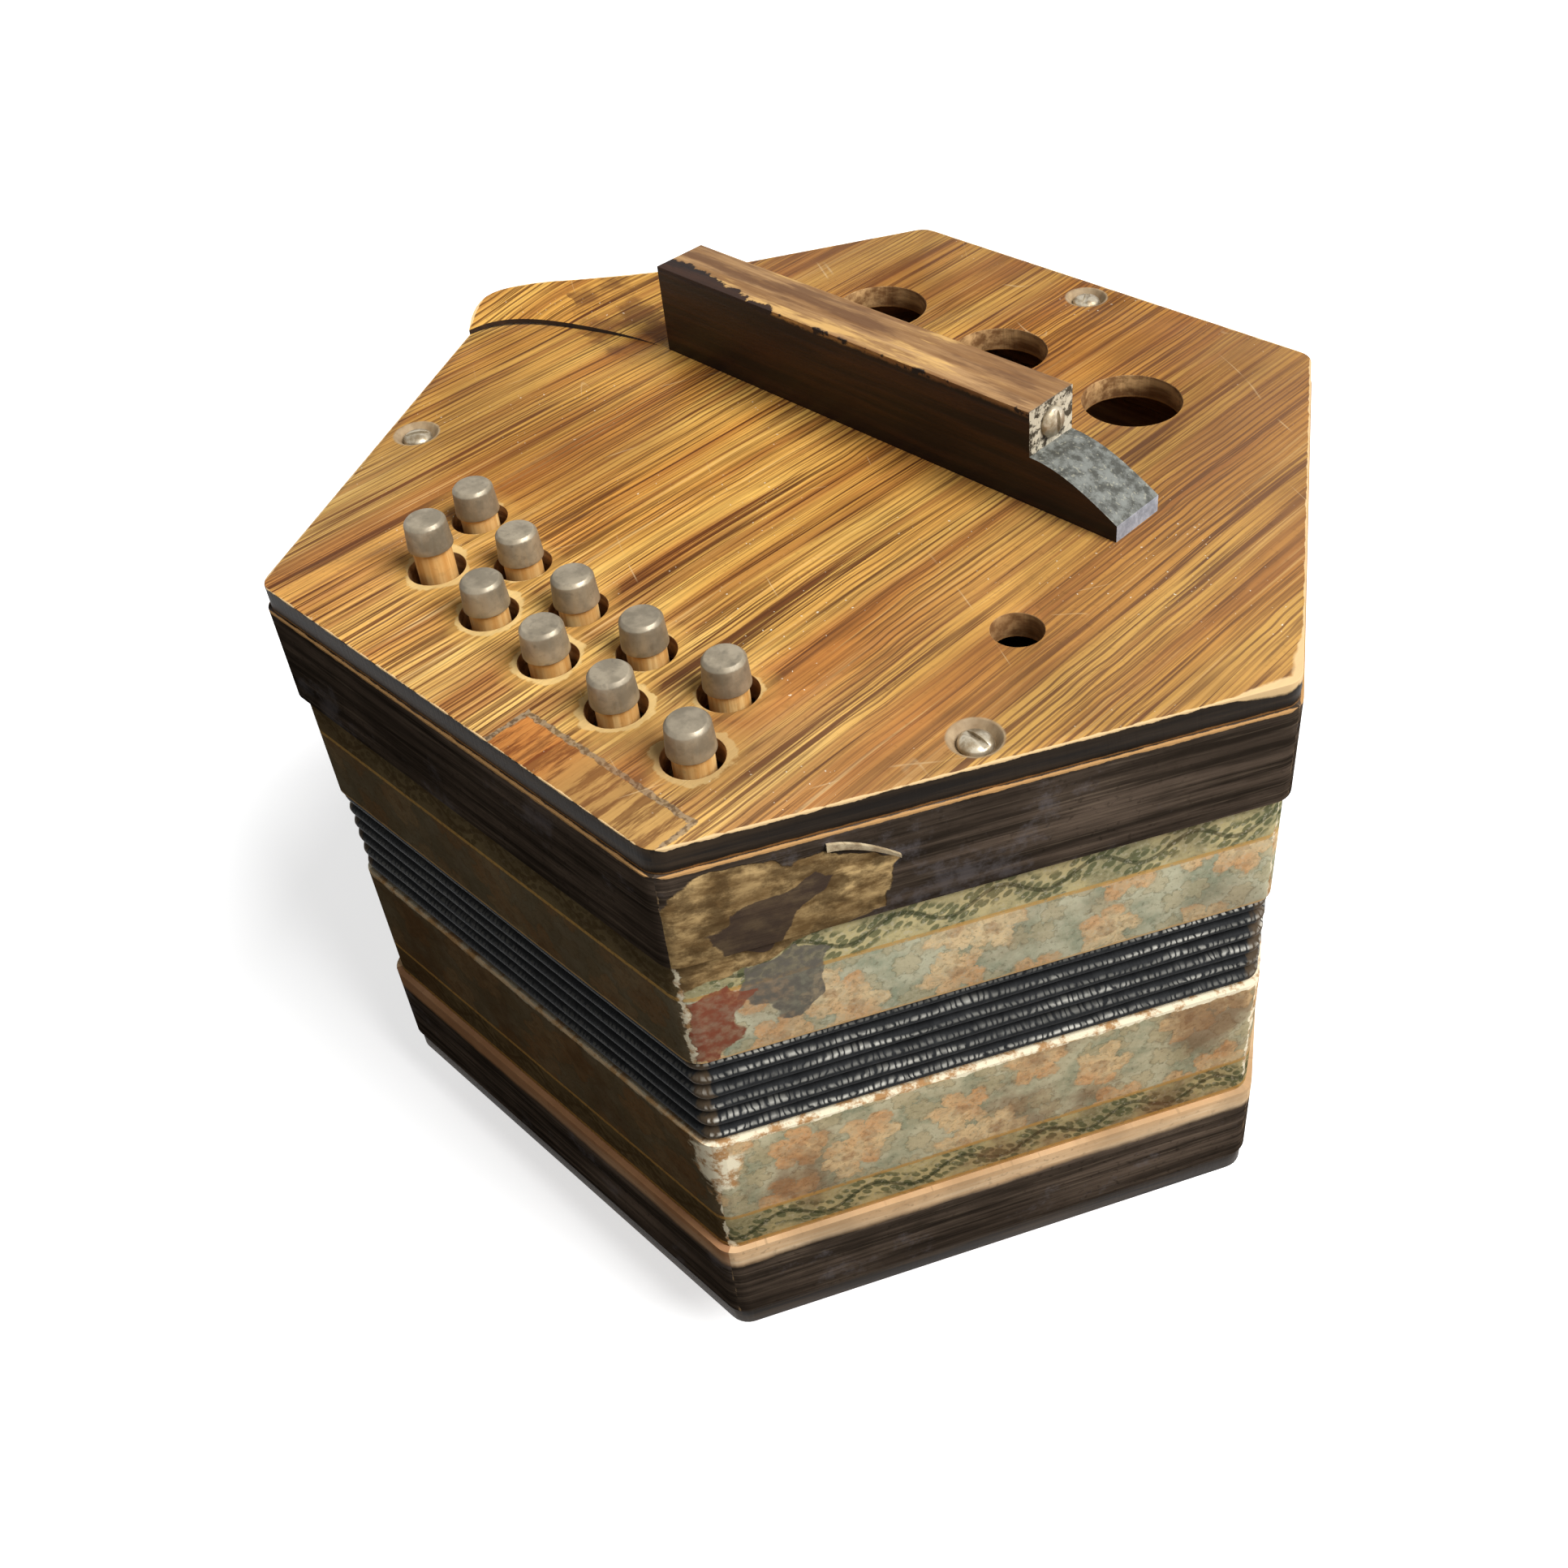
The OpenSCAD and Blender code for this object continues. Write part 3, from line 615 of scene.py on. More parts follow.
def finger_wear(nodes, spot, x, y, colour):
    """Brightens the keyboard's end, yellows what lies near a button and pales the rims of the holes."""
    outer = row_distance(nodes, x, y, OUTER_ROW_X, parabola(nodes, x, *OUTER_ROW_CURVE))
    inner = row_distance(nodes, x, y, INNER_ROW_X, parabola(nodes, x, *INNER_ROW_CURVE))
    to_button = nodes.least(outer, nodes.plus(inner, 1.2 * MM))
    rubbed = ragged_edge(nodes, nodes.scaled(spot, 1, 0.4, 1), to_button, RUB_REACH, 7 * MM, 160)
    colour = nodes.mix(nodes.ease(y, KEYS_FROM, KEYS_TO), colour, (230, 218, 194), blend="DIVIDE")
    colour = nodes.mix(nodes.times(rubbed, 0.42), colour, (230, 180, 96))
    rim = ragged_edge(nodes, spot, nodes.minus(to_button, HOLE_R), RIM_REACH, 4.4 * MM, 260)
    return nodes.mix(nodes.times(rim, 0.85), colour, (236, 202, 136)), rubbed


print(f"rows start at x = {OUTER_ROW_X / MM:.0f} and {INNER_ROW_X / MM:.0f} mm")

# %% [markdown]
# By the keys a strip is left where a paper label once sat: flatter in tone, redder at one end and framed by
# a thin line of old glue. Both follow one box distance, which is how far a point lies outside the strip in
# x or in y, whichever is more. The strip is where that is negative, and the glue is where it is small.

# %% The strip under the lost label
LABEL_LOW, LABEL_HIGH = (12.5 * MM, -80 * MM), (46 * MM, -72.5 * MM)
RED_FROM, RED_TO = 20 * MM, 31 * MM
GLUE_LINE, GLUE_HALF = 0.4 * MM, 0.55 * MM


def label_strip(nodes, spot, x, y, colour):
    """The largest of LOW x - x, x - HIGH x and y - HIGH y is 0 on the strip's outline."""
    far_x = nodes.most(nodes.minus(LABEL_LOW[0], x), nodes.minus(x, LABEL_HIGH[0]))
    outside = nodes.most(far_x, nodes.minus(y, LABEL_HIGH[1]))
    label = ragged_edge(nodes, spot, outside, 0.02 * MM, 0.8 * MM, 500)
    streaks = nodes.noise(nodes.scaled(spot, 1, 0.14, 1), 520, detail=5, roughness=0.7)
    tan_tone = nodes.mix(nodes.ease(streaks, 0.42, 0.56), (128, 88, 46), (216, 170, 98))
    red_tone = nodes.mix(nodes.ease(streaks, 0.42, 0.56), (128, 66, 30), (214, 138, 68))
    tone = nodes.mix(nodes.ease(x, RED_FROM, RED_TO), red_tone, tan_tone)
    colour = nodes.mix(nodes.times(label, 0.88), colour, tone)
    to_line = nodes.unsigned(nodes.minus(outside, GLUE_LINE))
    glue = ragged_edge(nodes, spot, to_line, GLUE_HALF, 1.5 * MM, 600)
    crumbs = nodes.mix(nodes.cloud(spot, 1300, 0.42, 0.56, detail=3), (96, 84, 66), (160, 142, 114))
    return nodes.mix(nodes.times(glue, 0.85), colour, crumbs)


print(f"label strip {(LABEL_HIGH[0] - LABEL_LOW[0]) / MM:.1f} mm long")

# %% [markdown]
# The rest of the face is darker at the back and towards the thumb side, lightly scratched and dusty, and
# has an oval of painted shade by the lifted corner. These are broad and faint, so they are tones laid
# on with soft noise. The screws sit on rings of bare, dirty wood, which are distances from three points
# of a circle.

# %% Marks of handling, and the screws' seats
SHADE_OVAL_SPOT, SHADE_OVAL_HALF = (-68 * MM, 13 * MM, 0), (17 * MM, 8 * MM, 1)
SCREW_RING_R = 74 * MM
SCREW_SEAT = (4.3 * MM, 3.9 * MM)
SCREW_ANGLES = (210, 90, -30)


def handling_marks(nodes, spot, x, y, colour, upright):
    """Blotches; on the upright plate a dark end, dark side and oval of painted shade; scratches, specks."""
    smoky = nodes.cloud(nodes.scaled(spot, 1, 0.5, 1), 24, 0.5, 0.68, detail=3)
    colour = nodes.mix(nodes.times(smoky, 0.4), colour, (120, 74, 38))
    if upright:
        colour = nodes.mix(nodes.ease(y, 18 * MM, 40 * MM, 0.0, 0.3), colour, (124, 80, 44))
        colour = nodes.mix(nodes.ease(x, 5 * MM, 70 * MM, 0.0, 0.34), colour, (142, 108, 80))
        # Painted shade: a mottled dark oval by the lifted corner, where the raised veneer shades the plate.
        shade_oval = nodes.group(torn_patch, vector=nodes.join(x, y, 0.0), centre=SHADE_OVAL_SPOT,
                             half_size=SHADE_OVAL_HALF, lean=0.5, raggedness=1.2)["Mask"]
        shade_oval = nodes.times(shade_oval, nodes.cloud(spot, 150, 0.4, 0.62, detail=4))
        colour = nodes.mix(nodes.times(shade_oval, 0.62), colour, (86, 48, 30))
    scratch = nodes.group(scratches, vector=spot, scale=60)["Mask"]
    colour = nodes.mix(nodes.times(scratch, 0.45), colour, (226, 196, 150))
    specks = nodes.cloud(spot, 1500, 0.735, 0.76, detail=1)
    specks = nodes.times(specks, nodes.cloud(spot, 40, 0.5, 0.62, detail=2))
    colour = nodes.mix(specks, colour, (232, 220, 196))
    return shaded(nodes, colour, spot, 0.14)


def screw_seats(nodes, spot, x, y, colour):
    """A disc round each of three points of a circle, eased out between the two SCREW_SEAT radii."""
    for angle in SCREW_ANGLES:
        turn = math.radians(angle)
        middle = (SCREW_RING_R * math.cos(turn), SCREW_RING_R * math.sin(turn), 0)
        to_screw = nodes.vector("DISTANCE", nodes.join(x, y, 0.0), middle)
        seat = nodes.ease(to_screw, *SCREW_SEAT)
        tone = nodes.mix(nodes.noise(spot, 600, detail=3), (112, 88, 60), (196, 176, 144))
        colour = nodes.mix(nodes.times(seat, 0.85), colour, tone)
    return colour


print("screws at", SCREW_ANGLES, "degrees")

# %% [markdown]
# The plate's sides are stained nearly black, and the bores through it show raw wood. Its arris is worn to
# cream wood in a line that widens towards one chipped corner and is thin on the button side. A bevel could
# give the arris a face of its own, but wear runs off such a face, so its distance is used instead: the
# depth below the face plus the depth inside the outline.

# %% Sides and arris
FRONT_RIGHT, FRONT_LEFT = 5.0, 4.0
CORNER_REACH = PLATE_APOTHEM / math.cos(math.pi / 6)
CHIPPED_CORNER = (CORNER_REACH, 0, 0)
THIN_WEAR, WIDE_WEAR = 0.34 * MM, 1.7 * MM


def on_side(nodes, side, number):
    """1 on one side of the hexagon and 0 on the others."""
    return nodes.math("COMPARE", side, number, 0.1)


def plate_side(nodes, x, y, z, sides, sheet):
    """Black stain near the outline, and raw wood from 2.2 mm inside it, which is where the bores are."""
    raw = wood_grain(nodes, nodes.join(x, y, z), (120, 84, 52), (206, 164, 112), 500)["Color"]
    stained = wood_grain(nodes, sheet, (24, 19, 15), (62, 50, 38), 700)["Color"]
    return nodes.mix(nodes.ease(sides["Distance"], 1.2 * MM, 2.2 * MM), stained, raw)


def worn_arris(nodes, spot, x, y, z, sides, sheet, colour):
    """Cream wood where depth + distance inside is small, and a pale seam along the foot of the side."""
    depth = nodes.most(nodes.minus(TOP, z), 0.0)
    at_arris = nodes.plus(nodes.most(sides["Distance"], 0.0), depth)
    to_chip = nodes.vector("DISTANCE", nodes.join(x, y, 0.0), CHIPPED_CORNER)
    width = nodes.ease(to_chip, 13 * MM, 3 * MM, THIN_WEAR, WIDE_WEAR)
    on_button_side = on_side(nodes, sides["Side"], FRONT_LEFT)
    width = nodes.times(width, nodes.times_plus(on_button_side, -0.5, 1.0))
    worn = ragged_edge(nodes, spot, at_arris, width, 1.0 * MM, 330)
    colour = nodes.mix(nodes.times(worn, 0.9), colour, (226, 192, 142))
    seam = ragged_edge(nodes, sheet, nodes.minus(z, plate_low.z), 0.45 * MM, 0.7 * MM, 260)
    return nodes.mix(nodes.times(seam, 0.6), colour, (176, 128, 76))


print(f"corners {CORNER_REACH / MM:.1f} mm from the middle")

# %% [markdown]
# The whole plate puts these together. Only the upright, right-hand plate has the lost label, the smoked
# place and the worn arris; the left-hand one faces the floor, and keeps the plainer wear. The veneer's
# height and the rub drive the bump, and rubbed wood is less glossy.

# %% Plate finish
def plate_material(name, upright):
    """The end plate's finish, with the face told from the sides by how far its normal is turned up."""
    material, nodes, shader = new_material(name, specular=0.06)
    place = nodes.put("TexCoord").outputs
    spot, facing = place["Object"], nodes.split(place["Normal"])
    x, y, z = nodes.split(spot)
    veneer = nodes.group(striped_veneer, vector=spot)
    sides = nodes.group(hexagon_side, vector=spot, apothem=PLATE_APOTHEM)
    sheet = nodes.join(sides["Along"], z, sides["Side"])
    flat = nodes.ease(nodes.unsigned(facing[2]), 0.75, 0.92)
    colour, rubbed = finger_wear(nodes, spot, x, y, veneer["Color"])
    if upright:
        colour = label_strip(nodes, spot, x, y, colour)
    colour = handling_marks(nodes, spot, x, y, colour, upright)
    colour = nodes.mix(flat, plate_side(nodes, x, y, z, sides, sheet), colour)
    if upright:
        colour = worn_arris(nodes, spot, x, y, z, sides, sheet, colour)
    colour = screw_seats(nodes, spot, x, y, colour)
    height = nodes.times_plus(rubbed, 0.3, veneer["Height"])
    dress(nodes, shader, colour, nodes.ease(rubbed, 0, 1, 0.5, 0.62), height, 0.04 * MM, 0.5)
    return material


right_plate_finish = plate_material("right plate veneer", True)
left_plate_finish = plate_material("left plate veneer", False)
print("plate finishes ready")

# %% [markdown]
# ### The torn place on the thumb side
# On the thumb side of the right-hand box a piece of veneer and paper is gone. Pale, fibrous wood shows
# there, with an old dark stain in it, and a red and a grey scrap of older paper hang below. The place runs
# over the wall and the frame, so both finishes call the same function with the same flat coordinates. Each
# side of the hexagon gets a sheet of its own far from the others, so no pattern repeats round a corner.

# %% The torn place
BARE_AREA = ((-48, 13), (-39, 7), (-24, 6.5), (-13.6, 11), (-16.4, 19.5), (-26.6, 23.7), (-38, 27.5),
             (-48, 31))
OLD_STAIN_AREA = ((-41, 17.5), (-37, 14), (-26, 10.5), (-23.5, 12.5), (-28.5, 19), (-33, 23), (-38, 22))
RED_AREA = ((-47, 33), (-39, 30.5), (-35, 33), (-37.5, 39), (-43, 44), (-47, 44))
GREY_AREA = ((-36, 27.5), (-29, 24.5), (-23.5, 28), (-25, 35), (-32, 38.5), (-37, 34))
SHEET_STEP = 210 * MM


def side_sheet(nodes, sides, depth):
    """Flat coordinates of a side: along it, down it, and SHEET_STEP times the side's number."""
    return nodes.join(sides["Along"], depth, nodes.times(sides["Side"], SHEET_STEP))


def bared(nodes, colour, sheet, sides):
    """Paints the torn place on the thumb side: raw wood with an old dark stain in it."""
    here = on_side(nodes, sides["Side"], FRONT_RIGHT)
    bare = nodes.times(torn_area(nodes, sheet, BARE_AREA, 3.5 * MM, 170), here)
    raw = wood_grain(nodes, nodes.scaled(sheet, 12, 1, 1), (120, 94, 60), (220, 186, 130), 420)["Color"]
    mottle = nodes.cloud(nodes.scaled(sheet, 0.8, 1, 1), 240, 0.42, 0.6, detail=5, roughness=0.68)
    raw = nodes.mix(nodes.times(mottle, 0.7), raw, (74, 56, 36))
    old = torn_area(nodes, sheet, OLD_STAIN_AREA, 2.5 * MM, 260)
    raw = nodes.mix(nodes.times(old, 0.85), raw, (70, 58, 52))
    return nodes.mix(bare, colour, raw), bare


def hanging_scraps(nodes, colour, sheet, sides):
    """Paints the grey scrap, then the red one, each with a mottle that lets the print show through."""
    here = on_side(nodes, sides["Side"], FRONT_RIGHT)
    for area, tone in ((GREY_AREA, (108, 102, 92)), (RED_AREA, (138, 80, 60))):
        torn = nodes.times(here, torn_area(nodes, sheet, area, 3 * MM, 260))
        mottle = nodes.cloud(sheet, 700, 0.35, 0.65, 0.72, 1.0, detail=4)
        colour = nodes.mix(nodes.times(torn, mottle), colour, tone)
    return colour


print(f"torn place {BARE_AREA[3][0] - BARE_AREA[0][0]:.1f} mm wide")

# %% [markdown]
# ### Wooden walls
# The walls are stained nearly black, and the stain has thinned to brown along the grain. They have no gloss
# at all: even a faint one turns the shaded side grey, because it is seen at a flat angle against a white
# floor. The right-hand wall is worn at its upper arris and torn on the thumb side. The left-hand wall keeps
# a plain pale strip where the paper ends. Where the hollow box shows its inside, the wood is bare.

# %% Wall finishes
PALE_STRIP = 4.3 * MM


def wall_material(name, upright):
    """Stained wall. The upright one is the right-hand wall. Depths count down from the plate's face."""
    material, nodes, shader = new_material(name, specular=0.0)
    spot = nodes.put("TexCoord").outputs["Object"]
    _, _, z = nodes.split(spot)
    sides = nodes.group(hexagon_side, vector=spot, apothem=APOTHEM)
    sheet = side_sheet(nodes, sides, nodes.minus(TOP, z))
    wood = wood_grain(nodes, sheet, (51, 43, 36), (108, 92, 79), 520)
    streaks = nodes.noise(nodes.scaled(sheet, 0.03, 1, 1), 1500, detail=3, roughness=0.6)
    colour = nodes.mix(nodes.ease(streaks, 0.52, 0.72, 0.0, 0.55), wood["Color"], (120, 104, 88))
    colour = shaded(nodes, colour, sheet, 0.35)
    scuff = nodes.cloud(sheet, 75, 0.56, 0.68, detail=6, roughness=0.7)
    colour = nodes.mix(nodes.times(scuff, 0.35), colour, (116, 110, 112))
    height = wood["Height"]
    if upright:
        colour, bare = bared(nodes, colour, sheet, sides)
        height = nodes.minus(height, nodes.times(bare, 2.5))
        at_arris = nodes.plus(nodes.minus(wall_high.z, z), nodes.most(sides["Distance"], 0.0))
        worn = ragged_edge(nodes, sheet, at_arris, 0.42 * MM, 0.8 * MM, 300)
        colour = nodes.mix(nodes.times(worn, 0.85), colour, (200, 154, 100))
    else:
        from_paper = nodes.minus(left_wall_high.z, z)
        strip = ragged_edge(nodes, sheet, from_paper, PALE_STRIP, 2.2 * MM, 70)
        pale = wood_grain(nodes, sheet, (204, 166, 124), (236, 212, 176), 420)["Color"]
        # Painted shade: on the button side the pale strip is mixed towards a dark brown.
        browning_and_shade = nodes.times(on_side(nodes, sides["Side"], FRONT_LEFT), 0.6)
        pale = nodes.mix(browning_and_shade, shaded(nodes, pale, sheet, 0.3), (132, 76, 40))
        colour = nodes.mix(strip, colour, pale)
    chips = ragged_edge(nodes, sheet, sides["Corner"], 0.3 * MM, 1.6 * MM, 420)
    colour = nodes.mix(nodes.times(chips, 0.55), colour, (176, 146, 108))
    bare_inside = wood_grain(nodes, sheet, (130, 96, 60), (190, 150, 104), 300)["Color"]
    outside = nodes.ease(sides["Distance"], 3.0 * MM, 2.0 * MM)
    colour = nodes.mix(outside, bare_inside, colour)
    dress(nodes, shader, colour, nodes.ease(wood["Height"], 0, 1, 0.44, 0.6), height, 0.06 * MM, 0.6)
    return material


right_wall_finish = wall_material("right wall stain", True)
left_wall_finish = wall_material("left wall stain", False)
print("wall finishes ready")

# %% [markdown]
# ### Printed paper on the frames
# The paper runs round each frame as a field of blossoms, with a border on the side of the wooden wall that
# is set off by thin yellow rules. A cheap print never lies quite true, so noise bends the coordinates
# before the blossoms are drawn. They come in two sizes on a mottled ground, and are partly faded.

# %% The paper's print
BLOOM_CELL, SMALL_CELL, STEM_PITCH = 12.5 * MM, 6 * MM, 15 * MM
PRINT_BEND = 5 * MM
BORDER = 8 * MM


def blossom_field(nodes, sheet, print_tone):
    """The field's colour: small blossoms in tan under large ones in pink, then veins, eyes and fading."""
    ripple = nodes.put("TexNoise", {"Vector": sheet, "Scale": 300.0, "Detail": 5.0,
                                    "Roughness": 0.62}).outputs["Color"]
    bent = nodes.vector("MULTIPLY_ADD", ripple, (PRINT_BEND, PRINT_BEND, 0), sheet)
    large = nodes.group(blossoms, vector=bent, cell=BLOOM_CELL, size=0.43)
    aside = nodes.vector("ADD", bent, (31 * MM, 17 * MM, 0))
    small = nodes.group(blossoms, vector=aside, cell=SMALL_CELL, size=0.4)
    ground = nodes.mix(print_tone, (160, 164, 138), (206, 202, 172))
    tint = nodes.mix(nodes.cloud(sheet, 90, 0.4, 0.6, detail=3), (232, 178, 124), (244, 212, 162))
    field = nodes.mix(nodes.times(small["Petals"], 0.45), ground, (196, 176, 134))
    field = nodes.mix(nodes.times(small["Outline"], 0.4), field, (112, 108, 84))
    field = nodes.mix(nodes.times(large["Petals"], 0.85), field, tint)
    veins = nodes.cloud(bent, 700, 0.5, 0.6, detail=3)
    lines = nodes.most(nodes.times(large["Outline"], 0.6), nodes.times(veins, large["Petals"]))
    field = nodes.mix(nodes.times(lines, 0.34), field, (136, 104, 70))
    field = nodes.mix(nodes.times(large["Eye"], 0.4), field, (150, 104, 72))
    faded = nodes.cloud(sheet, 420, 0.4, 0.62, 0.0, 0.42, detail=5, roughness=0.7)
    return nodes.mix(faded, field, (190, 180, 148))


def leafy_border(nodes, band, height, print_tone):
    """The border's colour: leaves, then the stem, over a yellowish ground."""
    stems = nodes.group(leafy_stems, vector=band, pitch=STEM_PITCH, height=height)
    ground = nodes.mix(print_tone, (162, 154, 116), (204, 188, 138))
    border = nodes.mix(nodes.times(stems["Leaf"], 0.75), ground, (84, 92, 62))
    return nodes.mix(nodes.times(stems["Stem"], 0.7), border, (56, 62, 42))


print(f"border {BORDER / MM:.0f} mm high, large blossoms {BLOOM_CELL / MM:.1f} mm apart")

# %% [markdown]
# Soot and hands have browned the paper, and its edges are torn back to the pale fibres below. The button
# side is painted dark, as shade, so that only the yellow rules still show. The right-hand frame shares
# the torn place with its wall. The left-hand frame is torn along its far edge, and most of all at its
# front corner.

# %% Paper finishes
PAPER_STEP = 137 * MM
FRONT_CORNER = (FRAME_APOTHEM / math.sqrt(3), -FRAME_APOTHEM)


def far_edge_tears(nodes, spot, sheet, to_far_edge, on_shaded_side):
    """Torn along the far edge, less on the button side, and torn widely round the front corner."""
    torn = ragged_edge(nodes, sheet, to_far_edge, 0.65 * MM, 2.8 * MM, 240)
    x, y, _ = nodes.split(spot)
    place = nodes.join(x, y, nodes.times(to_far_edge, 0.5))
    from_corner = nodes.vector("DISTANCE", place, (*FRONT_CORNER, 2 * MM))
    wide = ragged_edge(nodes, sheet, from_corner, 4.6 * MM, 10 * MM, 200)
    return nodes.most(nodes.times(torn, nodes.times_plus(on_shaded_side, -0.7, 1.0)), wide)


def paper_material(name, border_from, border_to, field_far, upright):
    """The border lies between two heights, and the field goes on from the second one to its far edge."""
    material, nodes, shader = new_material(name, specular=0.0)
    spot = nodes.put("TexCoord").outputs["Object"]
    _, _, z = nodes.split(spot)
    sides = nodes.group(hexagon_side, vector=spot, apothem=FRAME_APOTHEM)
    away = 1.0 if border_to > border_from else -1.0
    into_border = nodes.times(nodes.minus(z, border_from), away)
    into_field = nodes.times(nodes.minus(z, border_to), away)
    to_far_edge = nodes.times(nodes.minus(field_far, z), away)
    round_it = nodes.times_plus(sides["Side"], PAPER_STEP, sides["Along"])
    sheet = nodes.join(round_it, into_field)
    print_tone = nodes.cloud(sheet, 130, 0.4, 0.6, detail=4)
    field = blossom_field(nodes, sheet, print_tone)
    border = leafy_border(nodes, nodes.join(round_it, into_border), BORDER, print_tone)
    colour = nodes.mix(nodes.math("GREATER_THAN", into_field, 0.0), border, field)
    speckle = nodes.noise(sheet, 1100, detail=4, roughness=0.7)
    colour = nodes.mix(nodes.ease(speckle, 0.52, 0.66, 0.0, 0.45), colour, (206, 196, 170))
    colour = nodes.mix(nodes.ease(speckle, 0.46, 0.34, 0.0, 0.4), colour, (96, 88, 70))
    browning_and_shade = nodes.cloud(sheet, 44, 0.48, 0.64, detail=5, roughness=0.62)
    colour = nodes.mix(nodes.times(browning_and_shade, 0.24 if upright else 0.66), colour, (126, 90, 64))

    # Painted shade on the button side, the rules over it, and pale rubbed arrises.
    on_shaded_side = on_side(nodes, sides["Side"], FRONT_LEFT)
    colour = nodes.mix(nodes.times(on_shaded_side, 0.84), colour, (86, 66, 42))
    rule = nodes.ease(nodes.unsigned(into_field), 0.5 * MM, 0.3 * MM)
    first_rule = nodes.ease(nodes.unsigned(nodes.minus(into_border, 0.7 * MM)), 0.45 * MM, 0.25 * MM)
    rules = nodes.times(nodes.most(rule, first_rule), nodes.ease(speckle, 0.36, 0.5, 0.3, 0.8))
    colour = nodes.mix(rules, colour, (196, 152, 84))
    to_end = nodes.least(nodes.unsigned(into_border), to_far_edge)
    to_arris = nodes.plus(to_end, nodes.most(sides["Distance"], 0.0))
    rubbed = ragged_edge(nodes, sheet, to_arris, 0.45 * MM, 0.9 * MM, 300)
    colour = nodes.mix(nodes.times(rubbed, 0.75), colour, (206, 166, 112))
    if not upright:
        colour = nodes.mix(1.0, colour, (236, 229, 222), blend="MULTIPLY")
    colour = shaded(nodes, colour, sheet, 0.1)

    # Tears: the place shared with the wall, the corners, and the far edge of the left-hand frame.
    worn_sheet = side_sheet(nodes, sides, nodes.minus(TOP, z))
    if upright:
        colour, _ = bared(nodes, colour, worn_sheet, sides)
        colour = hanging_scraps(nodes, colour, worn_sheet, sides)
    bare = ragged_edge(nodes, worn_sheet, sides["Corner"], 0.8 * MM, 5.0 * MM, 190)
    if not upright:
        bare = nodes.most(bare, far_edge_tears(nodes, spot, worn_sheet, to_far_edge, on_shaded_side))
    fibres = nodes.cloud(spot, 330, 0.4, 0.56, detail=5, roughness=0.7)
    colour = nodes.mix(bare, colour, nodes.mix(fibres, (176, 134, 90), (238, 226, 196)))
    outside = nodes.ease(sides["Distance"], 2.0 * MM, 1.0 * MM)
    colour = nodes.mix(outside, (168, 132, 88), colour)
    height = nodes.minus(nodes.noise(sheet, 1400, detail=3), nodes.times(bare, 2.0))
    dress(nodes, shader, colour, 0.62, height, 0.05 * MM, 0.6)
    return material


right_paper = paper_material("right printed paper", frame_high.z, frame_high.z - BORDER, frame_low.z, True)
left_paper = paper_material("left printed paper", left_frame_low.z, left_frame_low.z + BORDER,
                            left_frame_high.z, False)
print("paper finishes ready")

# %% [markdown]
# ### Folded bellows
# The bellows are black cloth over card. Only the rounded edges of the folds show, and there the cloth has
# rubbed through to pale dashes. The corners are the most worn. The bellows stretch when they are pulled, so
# this finish doesn't read where a point is but where it was at rest, which the mesh carries as an attribute.
# The dashes are a line on each fold, cut up by the fractional part of the way round.

# %% Bellows finish
FOLDS = 6
BEAD_PITCH = 1.05 * MM
CLOTH_STEP = 190 * MM
REST_PLACES = "rest_places"
SHOULDER = 0.66
ROW_STEP = 37 * MM


def worn_beads(nodes, sheet, sides, z):
    """Dashes on the upper shoulder of each fold, in stretches, and fewer on the button side."""
    fold = nodes.over(nodes.minus(z, bellows_low.z), (bellows_high.z - bellows_low.z) / FOLDS)
    level = nodes.math("FRACT", fold)
    wobble = nodes.times(nodes.minus(nodes.noise(sheet, 90, detail=3), 0.5), 0.25)
    on_line = nodes.ease(nodes.unsigned(nodes.plus(nodes.minus(level, SHOULDER), wobble)), 0.13, 0.0)
    run = nodes.over(nodes.split(sheet)[0], BEAD_PITCH)
    run = nodes.plus(run, nodes.times(nodes.noise(sheet, 420, detail=3), 2.6))
    bead = nodes.ease(nodes.unsigned(nodes.minus(nodes.math("FRACT", run), 0.5)), 0.44, 0.2)
    own_row = nodes.times(nodes.math("FLOOR", fold), ROW_STEP)
    stretches = nodes.noise(nodes.join(nodes.split(sheet)[0], own_row), 34, detail=3)
    rubbed = nodes.times(nodes.times(on_line, bead), nodes.ease(stretches, 0.4, 0.6, 0.2, 1.0))
    rubbed = nodes.times(rubbed, nodes.cloud(sheet, 800, 0.34, 0.54, 0.4, 1.0, detail=2))
    shaded_side = on_side(nodes, sides["Side"], FRONT_LEFT)
    return nodes.times(rubbed, nodes.times_plus(shaded_side, -0.8, 0.92))


